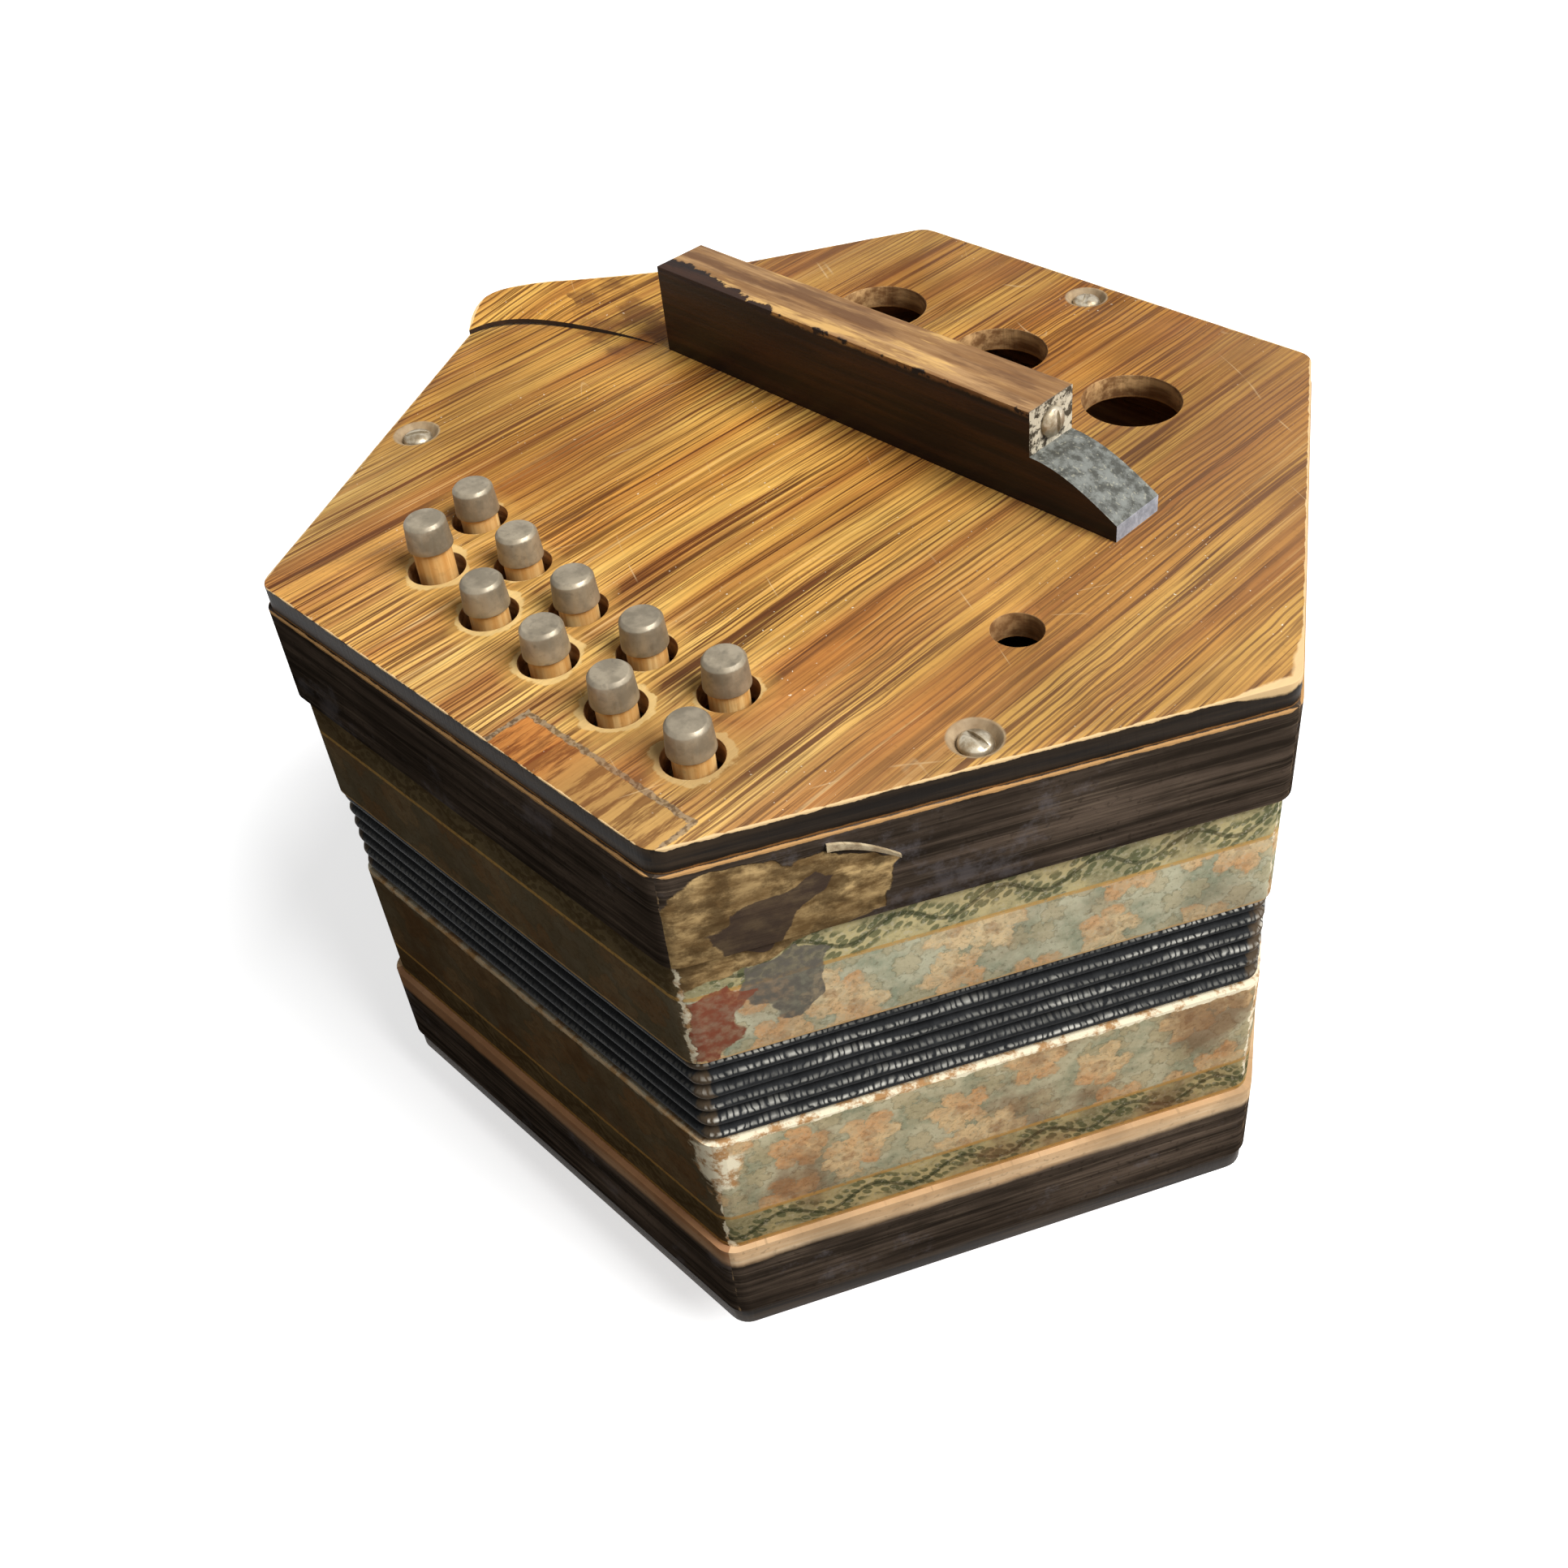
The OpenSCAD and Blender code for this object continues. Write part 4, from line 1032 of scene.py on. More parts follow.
def bellows_material():
    """Black cloth with worn beads, brownish corners and painted shade in the valleys between the folds."""
    material, nodes, shader = new_material("bellows cloth", specular=0.02)
    spot = nodes.put("Attribute", attribute_name=REST_PLACES).outputs["Vector"]
    _, _, z = nodes.split(spot)
    sides = nodes.group(hexagon_side, vector=spot, apothem=BELLOWS_APOTHEM)
    sheet = nodes.join(nodes.times_plus(sides["Side"], CLOTH_STEP, sides["Along"]), z)
    weave = nodes.put("TexWave", {"Vector": sheet, "Scale": 500.0, "Distortion": 1.5,
                                  "Detail": 1.0}).outputs[1]
    cloth = nodes.mix(nodes.noise(sheet, 500, detail=3), (17, 18, 20), (56, 57, 58))
    rubbed = worn_beads(nodes, sheet, sides, z)
    corner = ragged_edge(nodes, sheet, sides["Corner"], 2.2 * MM, 5 * MM, 420)
    corner = nodes.times(corner, nodes.ease(sides["Distance"], 3.0 * MM, 1.2 * MM))
    colour = nodes.mix(rubbed, cloth, (214, 211, 200))
    colour = nodes.mix(nodes.times(corner, 0.35), colour, (112, 90, 62))
    # Painted shade: the cloth deeper in than the noses is made darker, in the valleys between the folds.
    colour = nodes.mix(nodes.ease(sides["Distance"], 0.8 * MM, 2.5 * MM), colour, (12, 11, 10))
    height = nodes.times_plus(rubbed, 2.0, nodes.times(weave, 0.4))
    dress(nodes, shader, colour, 0.45, height, 0.05 * MM, 0.6)
    return material


bellows_finish = bellows_material()
print("bellows finish ready, beads", BEAD_PITCH / MM, "mm apart")

# %% [markdown]
# ### Hand rails
# A hand rail is dark on its sides and worn to tan on top, with a ragged dark line left along its front
# edge. At the thumb end a notch and a foot keep the remains of a leather strap: grey on the foot, cracked
# and whitish on the upright face of the notch, bluish on the tip. The faces that carry them are told apart
# by their normals and their place along the rail.

# %% Rail finishes
NOTCH_X = rail_high.x - 17 * MM
PAST_NOTCH = NOTCH_X + 2 * MM


def strap_remains(nodes, spot, x, facing, colour):
    """Grey where a face past the notch points up, whitish or bluish where it points along the rail."""
    mottle = nodes.cloud(spot, 420, 0.38, 0.62, detail=5, roughness=0.7)
    flakes = nodes.cloud(spot, 1500, 0.6, 0.66, detail=3)
    grey = nodes.mix(mottle, (72, 72, 66), (124, 126, 120))
    grey = nodes.mix(nodes.times(flakes, 0.4), grey, (176, 172, 152))
    past = nodes.ease(x, NOTCH_X - 0.3 * MM, NOTCH_X + 0.1 * MM)
    on_foot = nodes.times(past, nodes.ease(nodes.unsigned(facing[2]), 0.25, 0.4))
    colour = nodes.mix(on_foot, colour, grey)
    facing_out = nodes.ease(facing[0], 0.75, 0.9)
    cracks = nodes.cloud(spot, 520, 0.44, 0.54, detail=4, roughness=0.7)
    cracked = nodes.mix(cracks, (62, 54, 42), (196, 186, 164))
    on_notch = nodes.times(facing_out, nodes.math("LESS_THAN", x, PAST_NOTCH))
    colour = nodes.mix(on_notch, colour, cracked)
    on_tip = nodes.times(facing_out, nodes.math("GREATER_THAN", x, PAST_NOTCH))
    return nodes.mix(on_tip, colour, nodes.mix(mottle, (136, 142, 152), (172, 178, 188)))


def rail_material(name, upright):
    """Dark stain, worn to tan on top: worn is 1 at the outer face, and rim is 0 near the front edge."""
    material, nodes, shader = new_material(name, specular=0.2)
    place = nodes.put("TexCoord").outputs
    spot, facing = place["Object"], nodes.split(place["Normal"])
    x, y, z = nodes.split(spot)
    depth = nodes.minus(rail_high.z, z) if upright else z
    stain = wood_grain(nodes, spot, (20, 11, 7), (66, 40, 25), 520)
    tan = wood_grain(nodes, spot, (136, 98, 60), (200, 160, 112), 520)["Color"]
    ripple = nodes.minus(nodes.noise(spot, 200, detail=5, roughness=0.65), 0.5)
    worn = nodes.ease(nodes.times_plus(ripple, 2.2 * MM, depth), 1.2 * MM, 0.5 * MM)
    from_front = nodes.times_plus(ripple, 7 * MM, nodes.minus(y, rail_low.y))
    dark_rim = nodes.ease(x, -10 * MM, -45 * MM, -0.6 * MM, 3.2 * MM)
    rim = nodes.ease(nodes.minus(from_front, dark_rim), 0.0, 0.5 * MM)
    streak = nodes.noise(nodes.scaled(spot, 0.14, 1, 1), 190, detail=5, roughness=0.68)
    top = nodes.mix(nodes.ease(streak, 0.48, 0.62, 0.0, 0.75), tan, (92, 60, 38))
    top = nodes.mix(nodes.ease(streak, 0.47, 0.36, 0.0, 0.8), top, (222, 178, 110))
    colour = nodes.mix(nodes.times(worn, rim), shaded(nodes, stain["Color"], spot, 0.3), top)
    colour = strap_remains(nodes, spot, x, facing, colour)
    dress(nodes, shader, colour, nodes.ease(worn, 0, 1, 0.42, 0.62), stain["Height"], 0.06 * MM, 0.6)
    return material


right_rail_finish = rail_material("right rail wood", True)
left_rail_finish = rail_material("left rail wood", False)
print(f"notch at x = {NOTCH_X / MM:.1f} mm")

# %% [markdown]
# ### Plain woods, leather and metals
# The buttons are pale turned shafts under dull caps of pressed metal. The screws are rusty steel. Inside
# are boards, levers, brass reed plates and leather pads. These need no wear in particular places, so two
# functions make them all: one for what has fibres, leather included, and one for old metal.

# %% Small finishes
def fibre_material(name, dark, light, scale, axis="x", roughness=0.6):
    """Plain wood or leather with its grain along the named axis."""
    material, nodes, shader = new_material(name)
    x, y, z = nodes.split(nodes.put("TexCoord").outputs["Object"])
    orders = {"x": (x, y, z), "y": (y, z, x), "z": (z, x, y)}
    spot = nodes.join(*orders[axis])
    fibres = wood_grain(nodes, spot, dark, light, scale)
    colour = shaded(nodes, fibres["Color"], spot, 0.2)
    dress(nodes, shader, colour, roughness, fibres["Height"], 0.04 * MM, 0.5)
    return material


def metal_material(name, dark, light, scale=260, roughness=(0.34, 0.6), metallic=1.0):
    """Old metal: two tones in blotches, with fine scratches and a roughness that follows the blotches."""
    material, nodes, shader = new_material(name, metallic=metallic, specular=0.5)
    spot = nodes.put("TexCoord").outputs["Object"]
    blotch = nodes.cloud(spot, scale, 0.36, 0.64, detail=5, roughness=0.6)
    lines = nodes.noise(nodes.scaled(spot, 1, 0.15, 1), 2600, detail=2)
    colour = shaded(nodes, nodes.mix(blotch, dark, light), spot, 0.25)
    smooth, rough = roughness
    dress(nodes, shader, colour, nodes.ease(blotch, 0, 1, rough, smooth), lines, 0.02 * MM, 0.5)
    return material


shaft_wood = fibre_material("shaft wood", (204, 148, 78), (246, 208, 140), 700, "z")
board_wood = fibre_material("board wood", (150, 112, 70), (206, 168, 116), 240, "x")
lever_wood = fibre_material("lever wood", (126, 84, 48), (184, 136, 84), 500, "y")
cap_metal = metal_material("cap metal", (138, 127, 107), (170, 157, 134), 260, (0.38, 0.5), 0.4)
screw_metal = metal_material("screw steel", (150, 132, 104), (214, 202, 178), 500, (0.3, 0.5), 0.7)
brass = metal_material("brass", (150, 112, 52), (206, 168, 92), 300)
steel = metal_material("reed steel", (110, 112, 114), (168, 170, 172), 400)
pad_leather = fibre_material("pad leather", (196, 170, 132), (226, 206, 172), 900, "z", 0.85)
print("materials:", len(bpy.data.materials))

# %% [markdown]
# ## Softened copies of the solids
# Real wood has no knife edges. Each solid is copied, its loose triangles are merged, and a small bevel
# rounds the sharp edges, so that they catch the light. A finer mesh could be modelled anew, but a copy can't
# drift away from the solid. The copy rides on the same body and stands for the solid. One call does that
# for any node, and a choosing function gives each face of the copy its finish.

# %% Make a softened copy of a node
WELD = 0.002 * MM
NEARLY_FLAT, SHARP = math.radians(0.5), math.radians(35)


def faces_of(mesh):
    """Centres and normals of all faces as two arrays, read in one step each."""
    centres = np.empty(3 * len(mesh.polygons))
    normals = np.empty(3 * len(mesh.polygons))
    mesh.polygons.foreach_get("center", centres)
    mesh.polygons.foreach_get("normal", normals)
    return centres.reshape(-1, 3), normals.reshape(-1, 3)


def place(mesh, name, body=None, replaced=()):
    """Links a mesh as a piece. It rides on the named body, if one is given, and stands for some nodes."""
    piece = bpy.data.objects.new(name, mesh)
    bpy.context.collection.objects.link(piece)
    if body:
        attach(piece, body)
    if replaced:
        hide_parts(*replaced)
    return piece


def soften(piece, width, segments):
    """Rounds every edge sharper than SHARP with a live bevel."""
    bevel = piece.modifiers.new("soft edges", "BEVEL")
    bevel.width = width
    bevel.segments = segments
    bevel.limit_method = "ANGLE"
    bevel.angle_limit = SHARP
    bevel.harden_normals = True
    return piece


def dressed(node, finishes, choose=None, width=0.25 * MM, segments=2):
    """A merged copy of a node's mesh with soft edges. choose(centres, normals) gives each face a finish."""
    mesh = frame["nodes"][node].data.copy()
    mesh.name = node + "_dressed"
    shape = bmesh.new()
    shape.from_mesh(mesh)
    bmesh.ops.remove_doubles(shape, verts=shape.verts, dist=WELD)
    bmesh.ops.dissolve_limit(shape, angle_limit=NEARLY_FLAT, verts=shape.verts, edges=shape.edges)
    shape.to_mesh(mesh)
    shape.free()
    mesh.materials.clear()
    for finish in finishes:
        mesh.materials.append(finish)
    if choose:
        mesh.polygons.foreach_set("material_index", choose(*faces_of(mesh)).astype(np.int32))
    mesh.shade_smooth()
    return soften(place(mesh, mesh.name, body_holding[node], (node,)), width, segments)


def copies():
    """How many dressed copies there are."""
    return sum(piece.name.endswith("_dressed") for piece in bpy.data.objects)


print("nodes that can be copied:", len(frame["nodes"]))

# %% [markdown]
# The boxes, rails and screws have one finish each. Paper wraps round a wider arc than veneer does, and a
# hand has rounded the rails most, so the widths differ. A button's shaft and cap come in one mesh, so a
# face belongs to the metal cap if it is further from the axis than the shaft, or near the button's end.

# %% Dress the boxes, rails, screws and buttons
SHAFT_R = 3.05 * MM
CAP_FLAT = 1.2 * MM


def is_cap(node):
    """1 for faces further from the button's axis than SHAFT_R, or within CAP_FLAT of its outer end."""
    low, high = (np.array(corner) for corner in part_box(node))
    axis = (low + high)[:2] / 2

    def choose(centres, normals):
        from_axis = np.hypot(*(centres[:, :2] - axis).T)
        outer = high[2] if node.startswith("right") else low[2]
        near_top = np.abs(centres[:, 2] - outer) < CAP_FLAT
        return (from_axis > SHAFT_R) | near_top
    return choose


dressed("right_end_plate", [right_plate_finish], width=0.4 * MM)
dressed("left_end_plate", [left_plate_finish], width=0.4 * MM)
dressed("right_wall", [right_wall_finish], width=0.45 * MM, segments=3)
dressed("left_wall", [left_wall_finish], width=0.6 * MM, segments=3)
dressed("right_frame", [right_paper], width=0.8 * MM, segments=3)
dressed("left_frame", [left_paper], width=0.8 * MM, segments=3)
dressed("right_rail", [right_rail_finish], width=1.1 * MM, segments=4)
dressed("left_rail", [left_rail_finish], width=1.1 * MM, segments=4)
for end in ("right", "left"):
    dressed(end + "_screws", [screw_metal], width=0.1 * MM)
    for number in range(1, 11):
        button = f"{end}_button_{number}"
        dressed(button, [shaft_wood, cap_metal], is_cap(button), width=0.55 * MM, segments=3)
print("dressed copies:", copies())

# %% [markdown]
# ### The levers
# A lever is a wooden bar on a steel wire. A steel spring lies beside it and on top of it, and under its far
# end hangs a pad of wood faced with leather. One mesh holds all four, so a face gets its finish by where it
# is: how deep inside its end, and how far beside the bar. The bar's nose is eased, as a maker would plane
# it, so that the lever with the longest swing clears the board below when its button is right down.

# %% Dress the levers and their posts
LEVER_TOP, LEVER_BOTTOM, LEATHER_TOP = 10 * MM, 14 * MM, 16.22 * MM
HALF_LEVER, HAIR, NOSE_EASE = 1.6 * MM, 0.03 * MM, 0.25 * MM
WIRE_DEPTH, WIRE_REACH = 12 * MM, 1.05 * MM
WIRE_LINES = (-10 * MM, 4 * MM)


def depth_inside(end, heights):
    """How far heights lie inside an end: down from the right-hand face, or up from the left-hand one."""
    return heights - left_face_z if end == "left" else TOP - heights


def lever_parts(end, bar_x):
    """Numbers the faces: 0 the bar, 1 steel beside or above it, 2 the pad's wood, 3 its leather."""
    def choose(centres, normals):
        depth = depth_inside(end, centres[:, 2])
        spring = (centres[:, 0] - bar_x > HALF_LEVER + HAIR) | (depth < LEVER_TOP - HAIR)
        return np.select([depth > LEATHER_TOP, depth > LEVER_BOTTOM + HAIR, spring], [3, 2, 1], 0)
    return choose


def is_wire(end):
    """1 for faces within a wire's radius of one of the two lines on which the levers turn."""
    def choose(centres, normals):
        depth = depth_inside(end, centres[:, 2])
        reach = [np.hypot(centres[:, 1] - line, depth - WIRE_DEPTH) for line in WIRE_LINES]
        return np.minimum(*reach) < WIRE_REACH
    return choose


def eased_lever(node, end, bar_x):
    """A dressed lever. The front edge of the bar's underside is lifted by NOSE_EASE."""
    finishes = [lever_wood, steel, board_wood, pad_leather]
    piece = dressed(node, finishes, lever_parts(end, bar_x), 0.12 * MM, 1)
    points = np.empty(3 * len(piece.data.vertices))
    piece.data.vertices.foreach_get("co", points)
    points = points.reshape(-1, 3)
    at_front = points[:, 1] < points[:, 1].min() + HAIR
    under = depth_inside(end, points[:, 2]) > LEVER_BOTTOM - HAIR
    points[at_front & under, 2] += -NOSE_EASE if end == "left" else NOSE_EASE
    piece.data.vertices.foreach_set("co", points.ravel())
    piece.data.update()


def middle_x(node):
    """The x of the middle of a node's box."""
    low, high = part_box(node)
    return (low[0] + high[0]) / 2


for end in ("right", "left"):
    dressed(end + "_lever_post", [lever_wood, steel], is_wire(end), 0.15 * MM, 1)
    for number in range(1, 11):
        eased_lever(f"{end}_lever_{number}", end, middle_x(f"{end}_button_{number}"))
eased_lever("air_lever", "right", middle_x("air_lever"))
print("dressed copies, with levers and posts:", copies())

# %% [markdown]
# The boards and reeds are deep inside, where a soft edge would only cost triangles. They stay as the frame's
# own solids, and get a finish in each of their slots.

# %% Finishes for the inner nodes
INNER = {"action_board": board_wood, "reed_pan": board_wood, "reeds": brass}
for end in ("right", "left"):
    for part, finish in INNER.items():
        for slot in frame["nodes"][f"{end}_{part}"].material_slots:
            slot.material = finish
print("inner nodes finished:", 2 * len(INNER))

# %% [markdown]
# ## The folds
# A fold's cross-section is a short list of insets and heights. The whole bellows is that section repeated
# and swept round a hexagon with rounded corners. The sweep is one array: fold points by path points by
# three. Slow sine waves move each edge a little, because hand-made folds are never quite straight. Cloth
# simulation could crease a sheet, but pressed card has folds as regular as these.

# %% The path round the hexagon, and a tube along it
def hexagon_path(apothem, corner, side_steps=40, corner_steps=6):
    """Points round a hexagon: six arcs about (apothem - corner) / cos 30, with sides between them."""
    turns = np.radians(60 * np.arange(6))
    middles = (apothem - corner) / math.cos(math.pi / 6) * np.stack([np.cos(turns), np.sin(turns)], axis=1)
    sweep = turns[:, None] + np.radians(np.linspace(-30, 30, corner_steps + 1))
    arcs = middles[:, None] + corner * np.stack([np.cos(sweep), np.sin(sweep)], axis=2)
    share = np.linspace(0, 1, side_steps + 1)[1:-1, None]
    starts, ends = arcs[:, -1], np.roll(arcs[:, 0], -1, axis=0)
    straights = starts[:, None] + share * (ends - starts)[:, None]
    return np.concatenate([arcs, straights], axis=1).reshape(-1, 2)


def closed_sweep(name, rings):
    """A closed tube of quads: each ring joins the next one, and the last ring joins the first."""
    count, length, _ = rings.shape
    here = np.arange(count)[:, None] * length + np.arange(length)
    after = np.roll(here, -1, axis=1)
    faces = np.stack([here, after, np.roll(after, -1, axis=0), np.roll(here, -1, axis=0)], axis=2)
    mesh = bpy.data.meshes.new(name)
    mesh.from_pydata(rings.reshape(-1, 3), [], faces.reshape(-1, 4))
    mesh.validate()
    mesh.shade_smooth()
    return mesh


print("points round the bellows:", len(hexagon_path(BELLOWS_APOTHEM, 3 * MM)))

# %% [markdown]
# The section runs up the outside and back down the inside, a card's thickness further in. An outer fold has
# a rounded nose, which is where the cloth shows its wear. Corners are rounder at the noses than in the
# valleys, where the card is folded tight. Only the noses wave, and both ends stay straight on the frames.

# %% Sweep the bellows
VALLEY_INSET, CARD, INNER_NOSE = 12 * MM, 0.8 * MM, 2.6 * MM
NOSE = ((1.3, -0.33), (0.5, -0.27), (0.1, -0.15), (0.0, 0.0), (0.1, 0.15), (0.5, 0.27), (1.3, 0.33))
NOSE_DEPTH, NOSE_CORNER, VALLEY_CORNER = 2 * MM, 3.2 * MM, 0.4 * MM
CORNER_LOSS = 0.25
WAVE = 0.22 * MM
WAVES_ROUND = (5, 11, 23)
PHASE_SEED = 7


def bellows_section(low, high, pitch):
    """(inset, height) of each point: up the outside by valleys and noses, and down the inside."""
    outer = [(VALLEY_INSET, low)]
    for fold in range(FOLDS):
        middle = low + (fold + 0.5) * pitch
        outer += [(inset * MM, middle + rise * pitch) for inset, rise in NOSE]
        outer.append((VALLEY_INSET, low + (fold + 1) * pitch))
    inner = [(VALLEY_INSET + CARD, high)]
    for fold in reversed(range(FOLDS)):
        inner.append((INNER_NOSE, low + (fold + 0.5) * pitch))
        inner.append((VALLEY_INSET + CARD, low + fold * pitch))
    return np.array(outer + inner)


def bellows_rings():
    """Paths at each inset, lifted by WAVE times the mean of three sine waves whose phases differ by fold."""
    low, high = bellows_low.z, bellows_high.z
    pitch = (high - low) / FOLDS
    section = bellows_section(low, high, pitch)
    inset, height = section[:, :1], section[:, 1:]
    corner = np.maximum(NOSE_CORNER - inset[:, 0] * CORNER_LOSS, VALLEY_CORNER)
    paths = np.stack([hexagon_path(BELLOWS_APOTHEM - away, radius)
                      for away, radius in zip(inset[:, 0], corner)])
    turn = np.linspace(0, 2 * np.pi, paths.shape[1], endpoint=False)
    fold_of = np.clip((height[:, 0] - low) // pitch, 0, FOLDS - 1).astype(int)
    phases = np.random.default_rng(PHASE_SEED).uniform(0, 2 * np.pi, (FOLDS, 3))[fold_of]
    wave = np.mean([np.sin(turn * times + phases[:, [column]])
                    for column, times in enumerate(WAVES_ROUND)], axis=0)
    free = np.clip((height - low) / pitch, 0, 1) * np.clip((high - height) / pitch, 0, 1)
    heights = height + wave * WAVE * free * (inset < NOSE_DEPTH)
    return np.concatenate([paths, heights[:, :, None]], axis=2)


rings = bellows_rings()
bellows_mesh = closed_sweep("bellows_cloth", rings)
rest_places = bellows_mesh.attributes.new(REST_PLACES, "FLOAT_VECTOR", "POINT")
rest_places.data.foreach_set("vector", rings.ravel())
bellows_mesh.materials.append(bellows_finish)
bellows = place(bellows_mesh, "bellows_cloth", replaced=("bellows",))
print("bellows:", len(bellows_mesh.polygons), "faces")

# %% [markdown]
# ## A lifted corner and a splinter
# At the back left the veneer has cracked and curled up. It is a thin sheet between the crack, which is a
# run of points with its corners cut, and the plate's own outline. It rises from a hinge, the line between
# their first points. A splinter also stands off the thumb side, above the bared patch. Both are slabs: two
# grids of points joined at their rims. A single sheet with a Solidify modifier would be as thick at the
# hinge as anywhere else, and would stand there like a step.

# %% Thin slabs of torn wood
def smooth_line(corners, count):
    """Cuts corners four times, at a quarter and three quarters of each span, then spaces points evenly."""
    line = np.array(corners) * MM
    for _ in range(4):
        starts, spans = line[:-1], np.diff(line, axis=0)
        cut = np.stack([starts + 0.25 * spans, starts + 0.75 * spans], axis=1).reshape(-1, 3)
        line = np.concatenate([line[:1], cut, line[-1:]])
    gone = np.concatenate([[0], np.cumsum(np.linalg.norm(np.diff(line, axis=0), axis=1))])
    wanted = np.linspace(0, gone[-1], count)
    return np.stack([np.interp(wanted, gone, line[:, axis]) for axis in range(3)], axis=1)


def slab(name, top, bottom, finish, rim_finish):
    """Two grids of equal shape joined at their rims. The top grid has the first finish."""
    rows, columns, _ = top.shape
    index = np.arange(rows * columns).reshape(rows, columns)
    quads = np.stack([index[:-1, :-1], index[:-1, 1:], index[1:, 1:], index[1:, :-1]], axis=2)
    quads = quads.reshape(-1, 4)
    loop = np.concatenate([index[0, :-1], index[:-1, -1], index[-1, :0:-1], index[:0:-1, 0]])
    after = np.roll(loop, -1)
    under = rows * columns
    rim = np.stack([loop, loop + under, after + under, after], axis=1)
    faces = np.concatenate([quads, quads[:, ::-1] + under, rim])
    mesh = bpy.data.meshes.new(name)
    mesh.from_pydata(np.concatenate([top.reshape(-1, 3), bottom.reshape(-1, 3)]), [], faces)
    mesh.materials.append(finish)
    mesh.materials.append(rim_finish)
    mesh.polygons.foreach_set("material_index", (np.arange(len(faces)) >= len(quads)).astype(np.int32))
    shape = bmesh.new()
    shape.from_mesh(mesh)
    bmesh.ops.remove_doubles(shape, verts=shape.verts, dist=WELD)
    bmesh.ops.recalc_face_normals(shape, faces=shape.faces)
    shape.to_mesh(mesh)
    shape.free()
    return mesh


# Painted shade: the lifted sheet's rim and underside get a near black wood, as the gap under it is in shade.
crack_shade_wood = fibre_material("torn wood", (22, 14, 9), (58, 38, 24), 500)
splinter_wood = fibre_material("splinter wood", (150, 128, 96), (214, 196, 160), 900)
print("torn finishes:", crack_shade_wood.name, splinter_wood.name)

# %% [markdown]
# The corner's heights run straight from the crack to the outline. The splinter's spine bows away from the
# wall as the square of its length, and its width tapers.

# %% The lifted corner and the splinter
SHEET_T, SHEET_ABOVE, SHEET_INTO = 0.8 * MM, 0.03 * MM, 0.05 * MM
CRACK = ((-52.8, 10.9, 0), (-58, 10.0, 0.35), (-64.3, 8.2, 0.7), (-71.7, 5.6, 1.0), (-78.8, 2.4, 1.2),
         (-83.4, -1.2, 1.3), (-85.8, -4.8, 1.2), (-86.6, -8.6, 1.0))
BACK_OUTLINE = ((-65.7, 44.7, 0), (-70, 37.8, 0.7), (-74.6, 29.8, 1.5), (-78.5, 23, 2.2),
                (-82.8, 15.3, 3.2), (-86.3, 9.3, 4.1), (-89.4, 4, 4.2), (-90.9, 0.4, 3.9),
                (-90.4, -2.8, 3.4), (-88.9, -5.8, 2.5), (-86.6, -8.6, 1.0))
SPLINTER_START, SPLINTER_LENGTH = -23.2, 9.6
SPLINTER_DEPTH, SPLINTER_FALL = 6.6, 3.2
SPLINTER_WIDTH, SPLINTER_TAPER, SPLINTER_T = 1.3, 0.8, 0.45
SPLINTER_GAP, SPLINTER_BOW = 0.05, 1.7


def lifted_corner(rows=40, columns=14):
    """A ruled sheet: front (1 - share) + back share, with the underside SHEET_T lower where it can be."""
    front, back = smooth_line(CRACK, rows)[:, None], smooth_line(BACK_OUTLINE, rows)[:, None]
    share = np.linspace(0, 1, columns)[None, :, None]
    sheet = front * (1 - share) + back * share
    flat, rise = sheet[:, :, :2], sheet[:, :, 2:]
    top = np.concatenate([flat, TOP + SHEET_ABOVE + rise], axis=2)
    under = np.concatenate([flat, TOP - SHEET_INTO + np.maximum(rise - SHEET_T, 0)], axis=2)
    return slab("lifted_corner", top, under, right_plate_finish, crack_shade_wood)


def splinter(rows=16, columns=4):
    """Along the side by LENGTH t, down by FALL t^1.6, out from the wall by BOW t^2, for t from 0 to 1."""
    outward, onward = np.array([HALF_ROOT, -0.5, 0]), np.array([0.5, HALF_ROOT, 0])
    t = np.linspace(0, 1, rows)[:, None, None]
    across = np.linspace(-0.5, 0.5, columns)[None, :, None]
    run = (SPLINTER_START + SPLINTER_LENGTH * t) * MM
    width = (SPLINTER_WIDTH - SPLINTER_TAPER * t) * MM
    depth = (SPLINTER_DEPTH + SPLINTER_FALL * t ** 1.6) * MM + across * width
    away = APOTHEM + (SPLINTER_GAP + SPLINTER_BOW * t ** 2) * MM
    spine = away * outward + run * onward + (TOP - depth) * np.array([0, 0, 1])
    return slab("splinter", spine + SPLINTER_T * MM * outward, spine, splinter_wood, splinter_wood)


place(lifted_corner(), "lifted_corner", "right_end")
place(splinter(), "splinter", "right_end")
print("torn pieces added")

# %% [markdown]
# ## Light and floor
# A broad soft lamp stands on the thumb side, high and a little behind, so that the thumb side is bright and
# the button side falls into shade. A faint second lamp and a weak pale sky fill the shadows. The floor is a
# plain pale sheet. A floor lit only by these would look grey, and one that glows would light the object
# from below. So the camera's rays and those of a gloss meet a glowing white, and all others a matt grey.

# %% Floor
HALF_FLOOR = 6.0
FLOOR_ROUGH, FLOOR_GLOW = 0.95, 0.6


def seen_directly(nodes):
    """1 for rays from the camera, from a gloss or through glass, and 0 for the rest."""
    rays = nodes.put("LightPath").outputs
    return nodes.most(rays["Is Camera Ray"], nodes.most(rays["Is Glossy Ray"], rays["Is Transmission Ray"]))


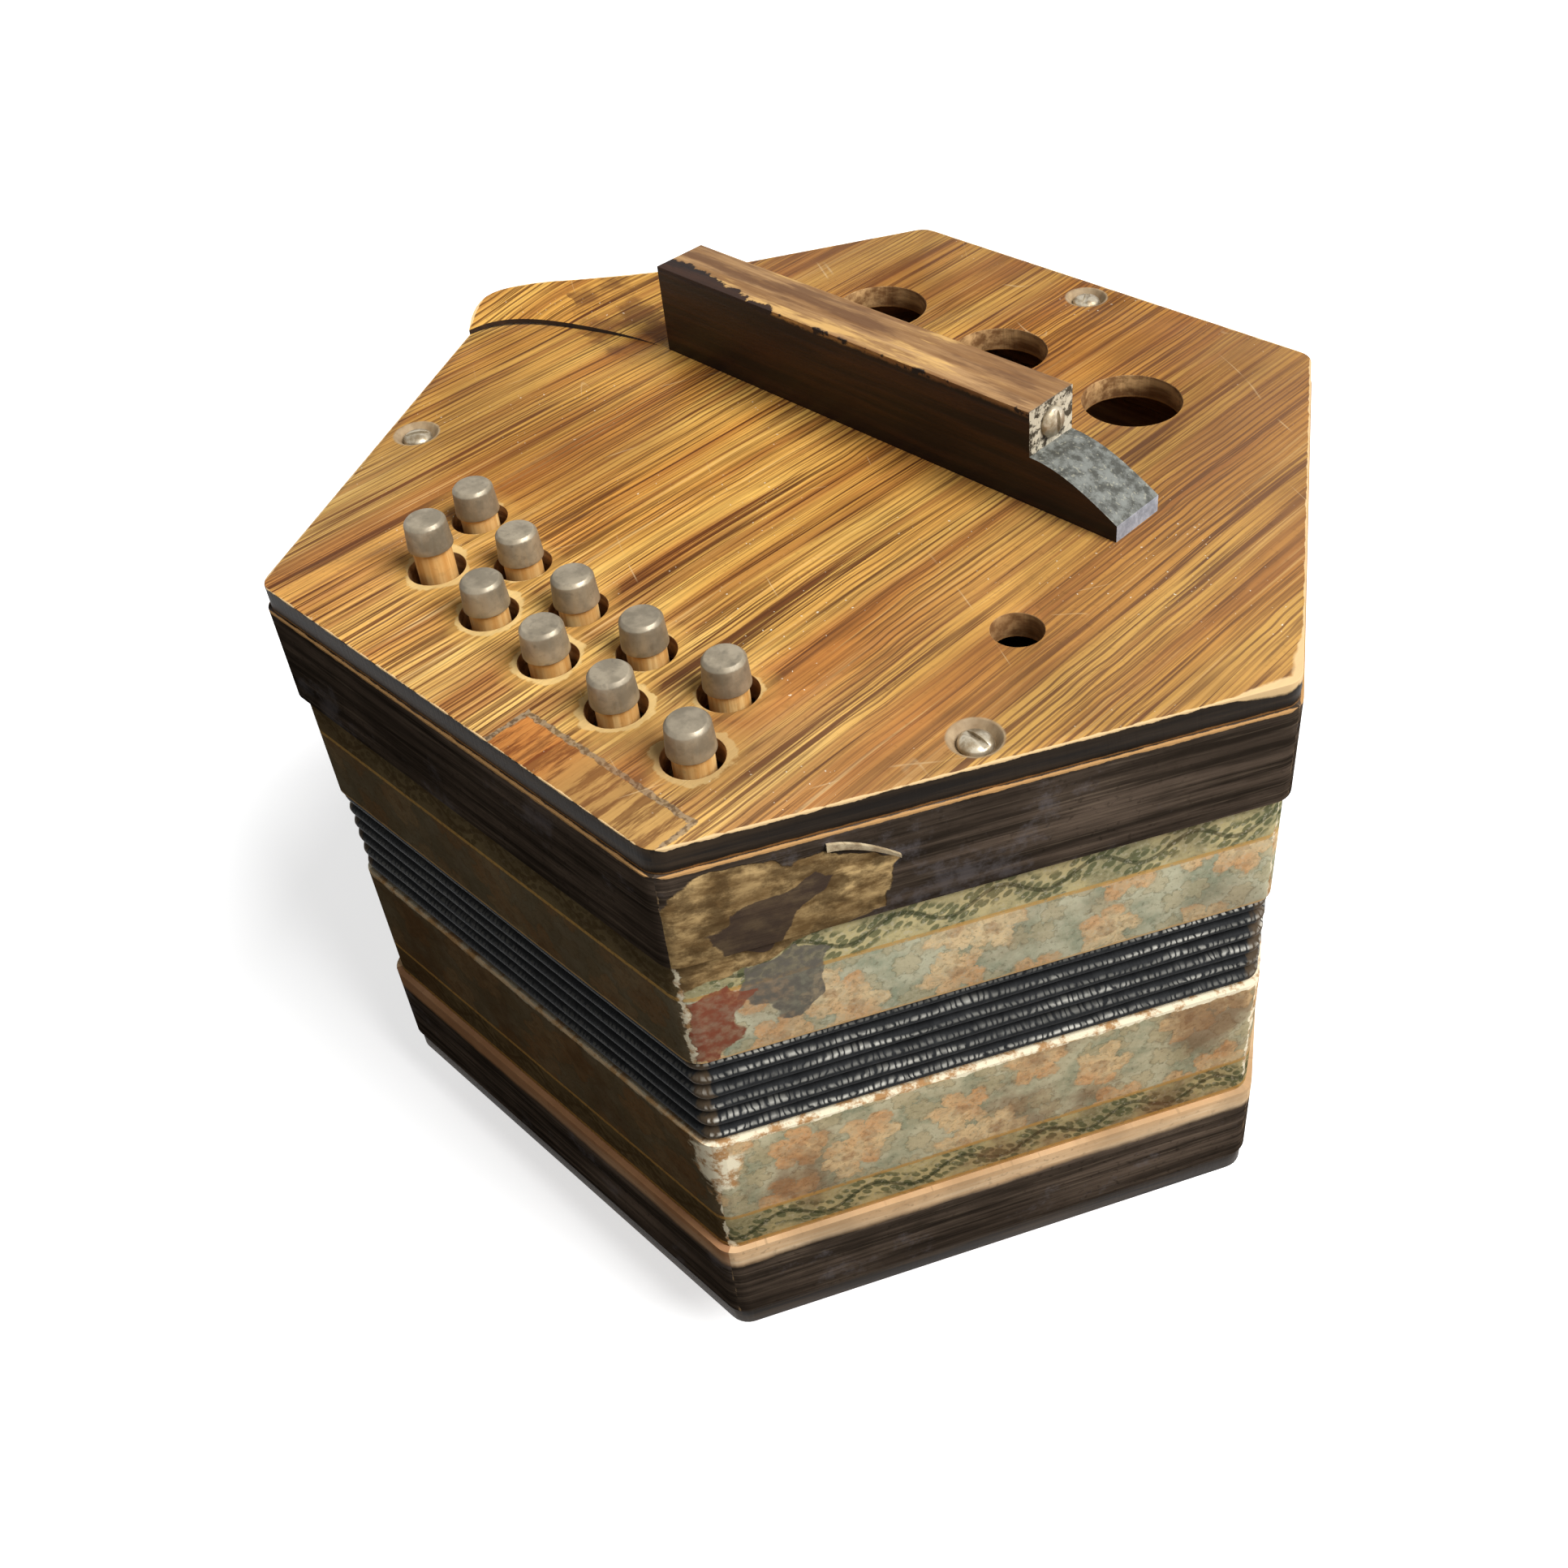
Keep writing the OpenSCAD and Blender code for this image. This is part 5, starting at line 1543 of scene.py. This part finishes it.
def floor_finish():
    """A glowing white sheet where it is seen directly, and a matt grey one for the light it throws back."""
    material, nodes, shader = new_material("floor sheet", specular=0.0)
    spot = nodes.put("TexCoord").outputs["Object"]
    tone = nodes.mix(nodes.noise(spot, 3, detail=3), (250, 250, 250), (254, 254, 254))
    dress(nodes, shader, tone, FLOOR_ROUGH)
    shader.inputs["Emission Color"].default_value = (1, 1, 1, 1)
    shader.inputs["Emission Strength"].default_value = FLOOR_GLOW
    matt = nodes.put("BsdfDiffuse", {"Color": (120, 118, 114)})
    choice = nodes.put("MixShader", {"Fac": seen_directly(nodes)})
    nodes.feed(choice.inputs[1], matt.outputs[0])
    nodes.feed(choice.inputs[2], shader.outputs[0])
    nodes.feed(nodes.tree.nodes["Material Output"].inputs["Surface"], choice.outputs[0])
    return material


def floor_piece():
    """One square of 2 HALF_FLOOR, on the ground plane."""
    half = HALF_FLOOR
    corners = np.array([(-half, -half, 0), (half, -half, 0), (half, half, 0), (-half, half, 0)])
    mesh = bpy.data.meshes.new("floor")
    mesh.from_pydata(corners, [], [(0, 1, 2, 3)])
    mesh.materials.append(floor_finish())
    place(mesh, "floor")


floor_piece()
print(f"floor {2 * HALF_FLOOR:.0f} m wide")

# %% Lamps and sky
def soft_lamp(name, direction, distance, size, watts):
    """A disc lamp at a distance from the middle of the plate, facing it."""
    lamp_data = bpy.data.lights.new(name, "AREA")
    lamp_data.shape = "DISK"
    lamp_data.size = size
    lamp_data.energy = watts
    lamp = bpy.data.objects.new(name, lamp_data)
    toward = Vector(direction).normalized()
    lamp.location = Vector((0, 0, TOP)) + toward * distance
    lamp.rotation_euler = toward.to_track_quat("Z", "Y").to_euler()
    bpy.context.collection.objects.link(lamp)


def white_sky(strength):
    """An even sky, weak as a lamp but white to the camera and in reflections, as the floor is."""
    world = bpy.data.worlds.new("sky")
    world.use_nodes = True
    nodes = Nodes(world.node_tree)
    sky = world.node_tree.nodes["Background"]
    sky.inputs["Color"].default_value = (1, 1, 1, 1)
    nodes.feed(sky.inputs["Strength"], nodes.most(seen_directly(nodes), strength))
    bpy.context.scene.world = world


soft_lamp("key", (0.64, 0.17, 0.75), distance=3.0, size=2.0, watts=144)
soft_lamp("fill", (-0.2, -0.5, 0.84), distance=1.4, size=1.2, watts=0.8)
white_sky(0.16)
bpy.context.scene.view_settings.view_transform = "Standard"
print("lamps:", [lamp.name for lamp in bpy.data.lights])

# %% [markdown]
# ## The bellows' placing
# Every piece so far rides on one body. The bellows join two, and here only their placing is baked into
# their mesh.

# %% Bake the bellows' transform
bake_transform(bellows)
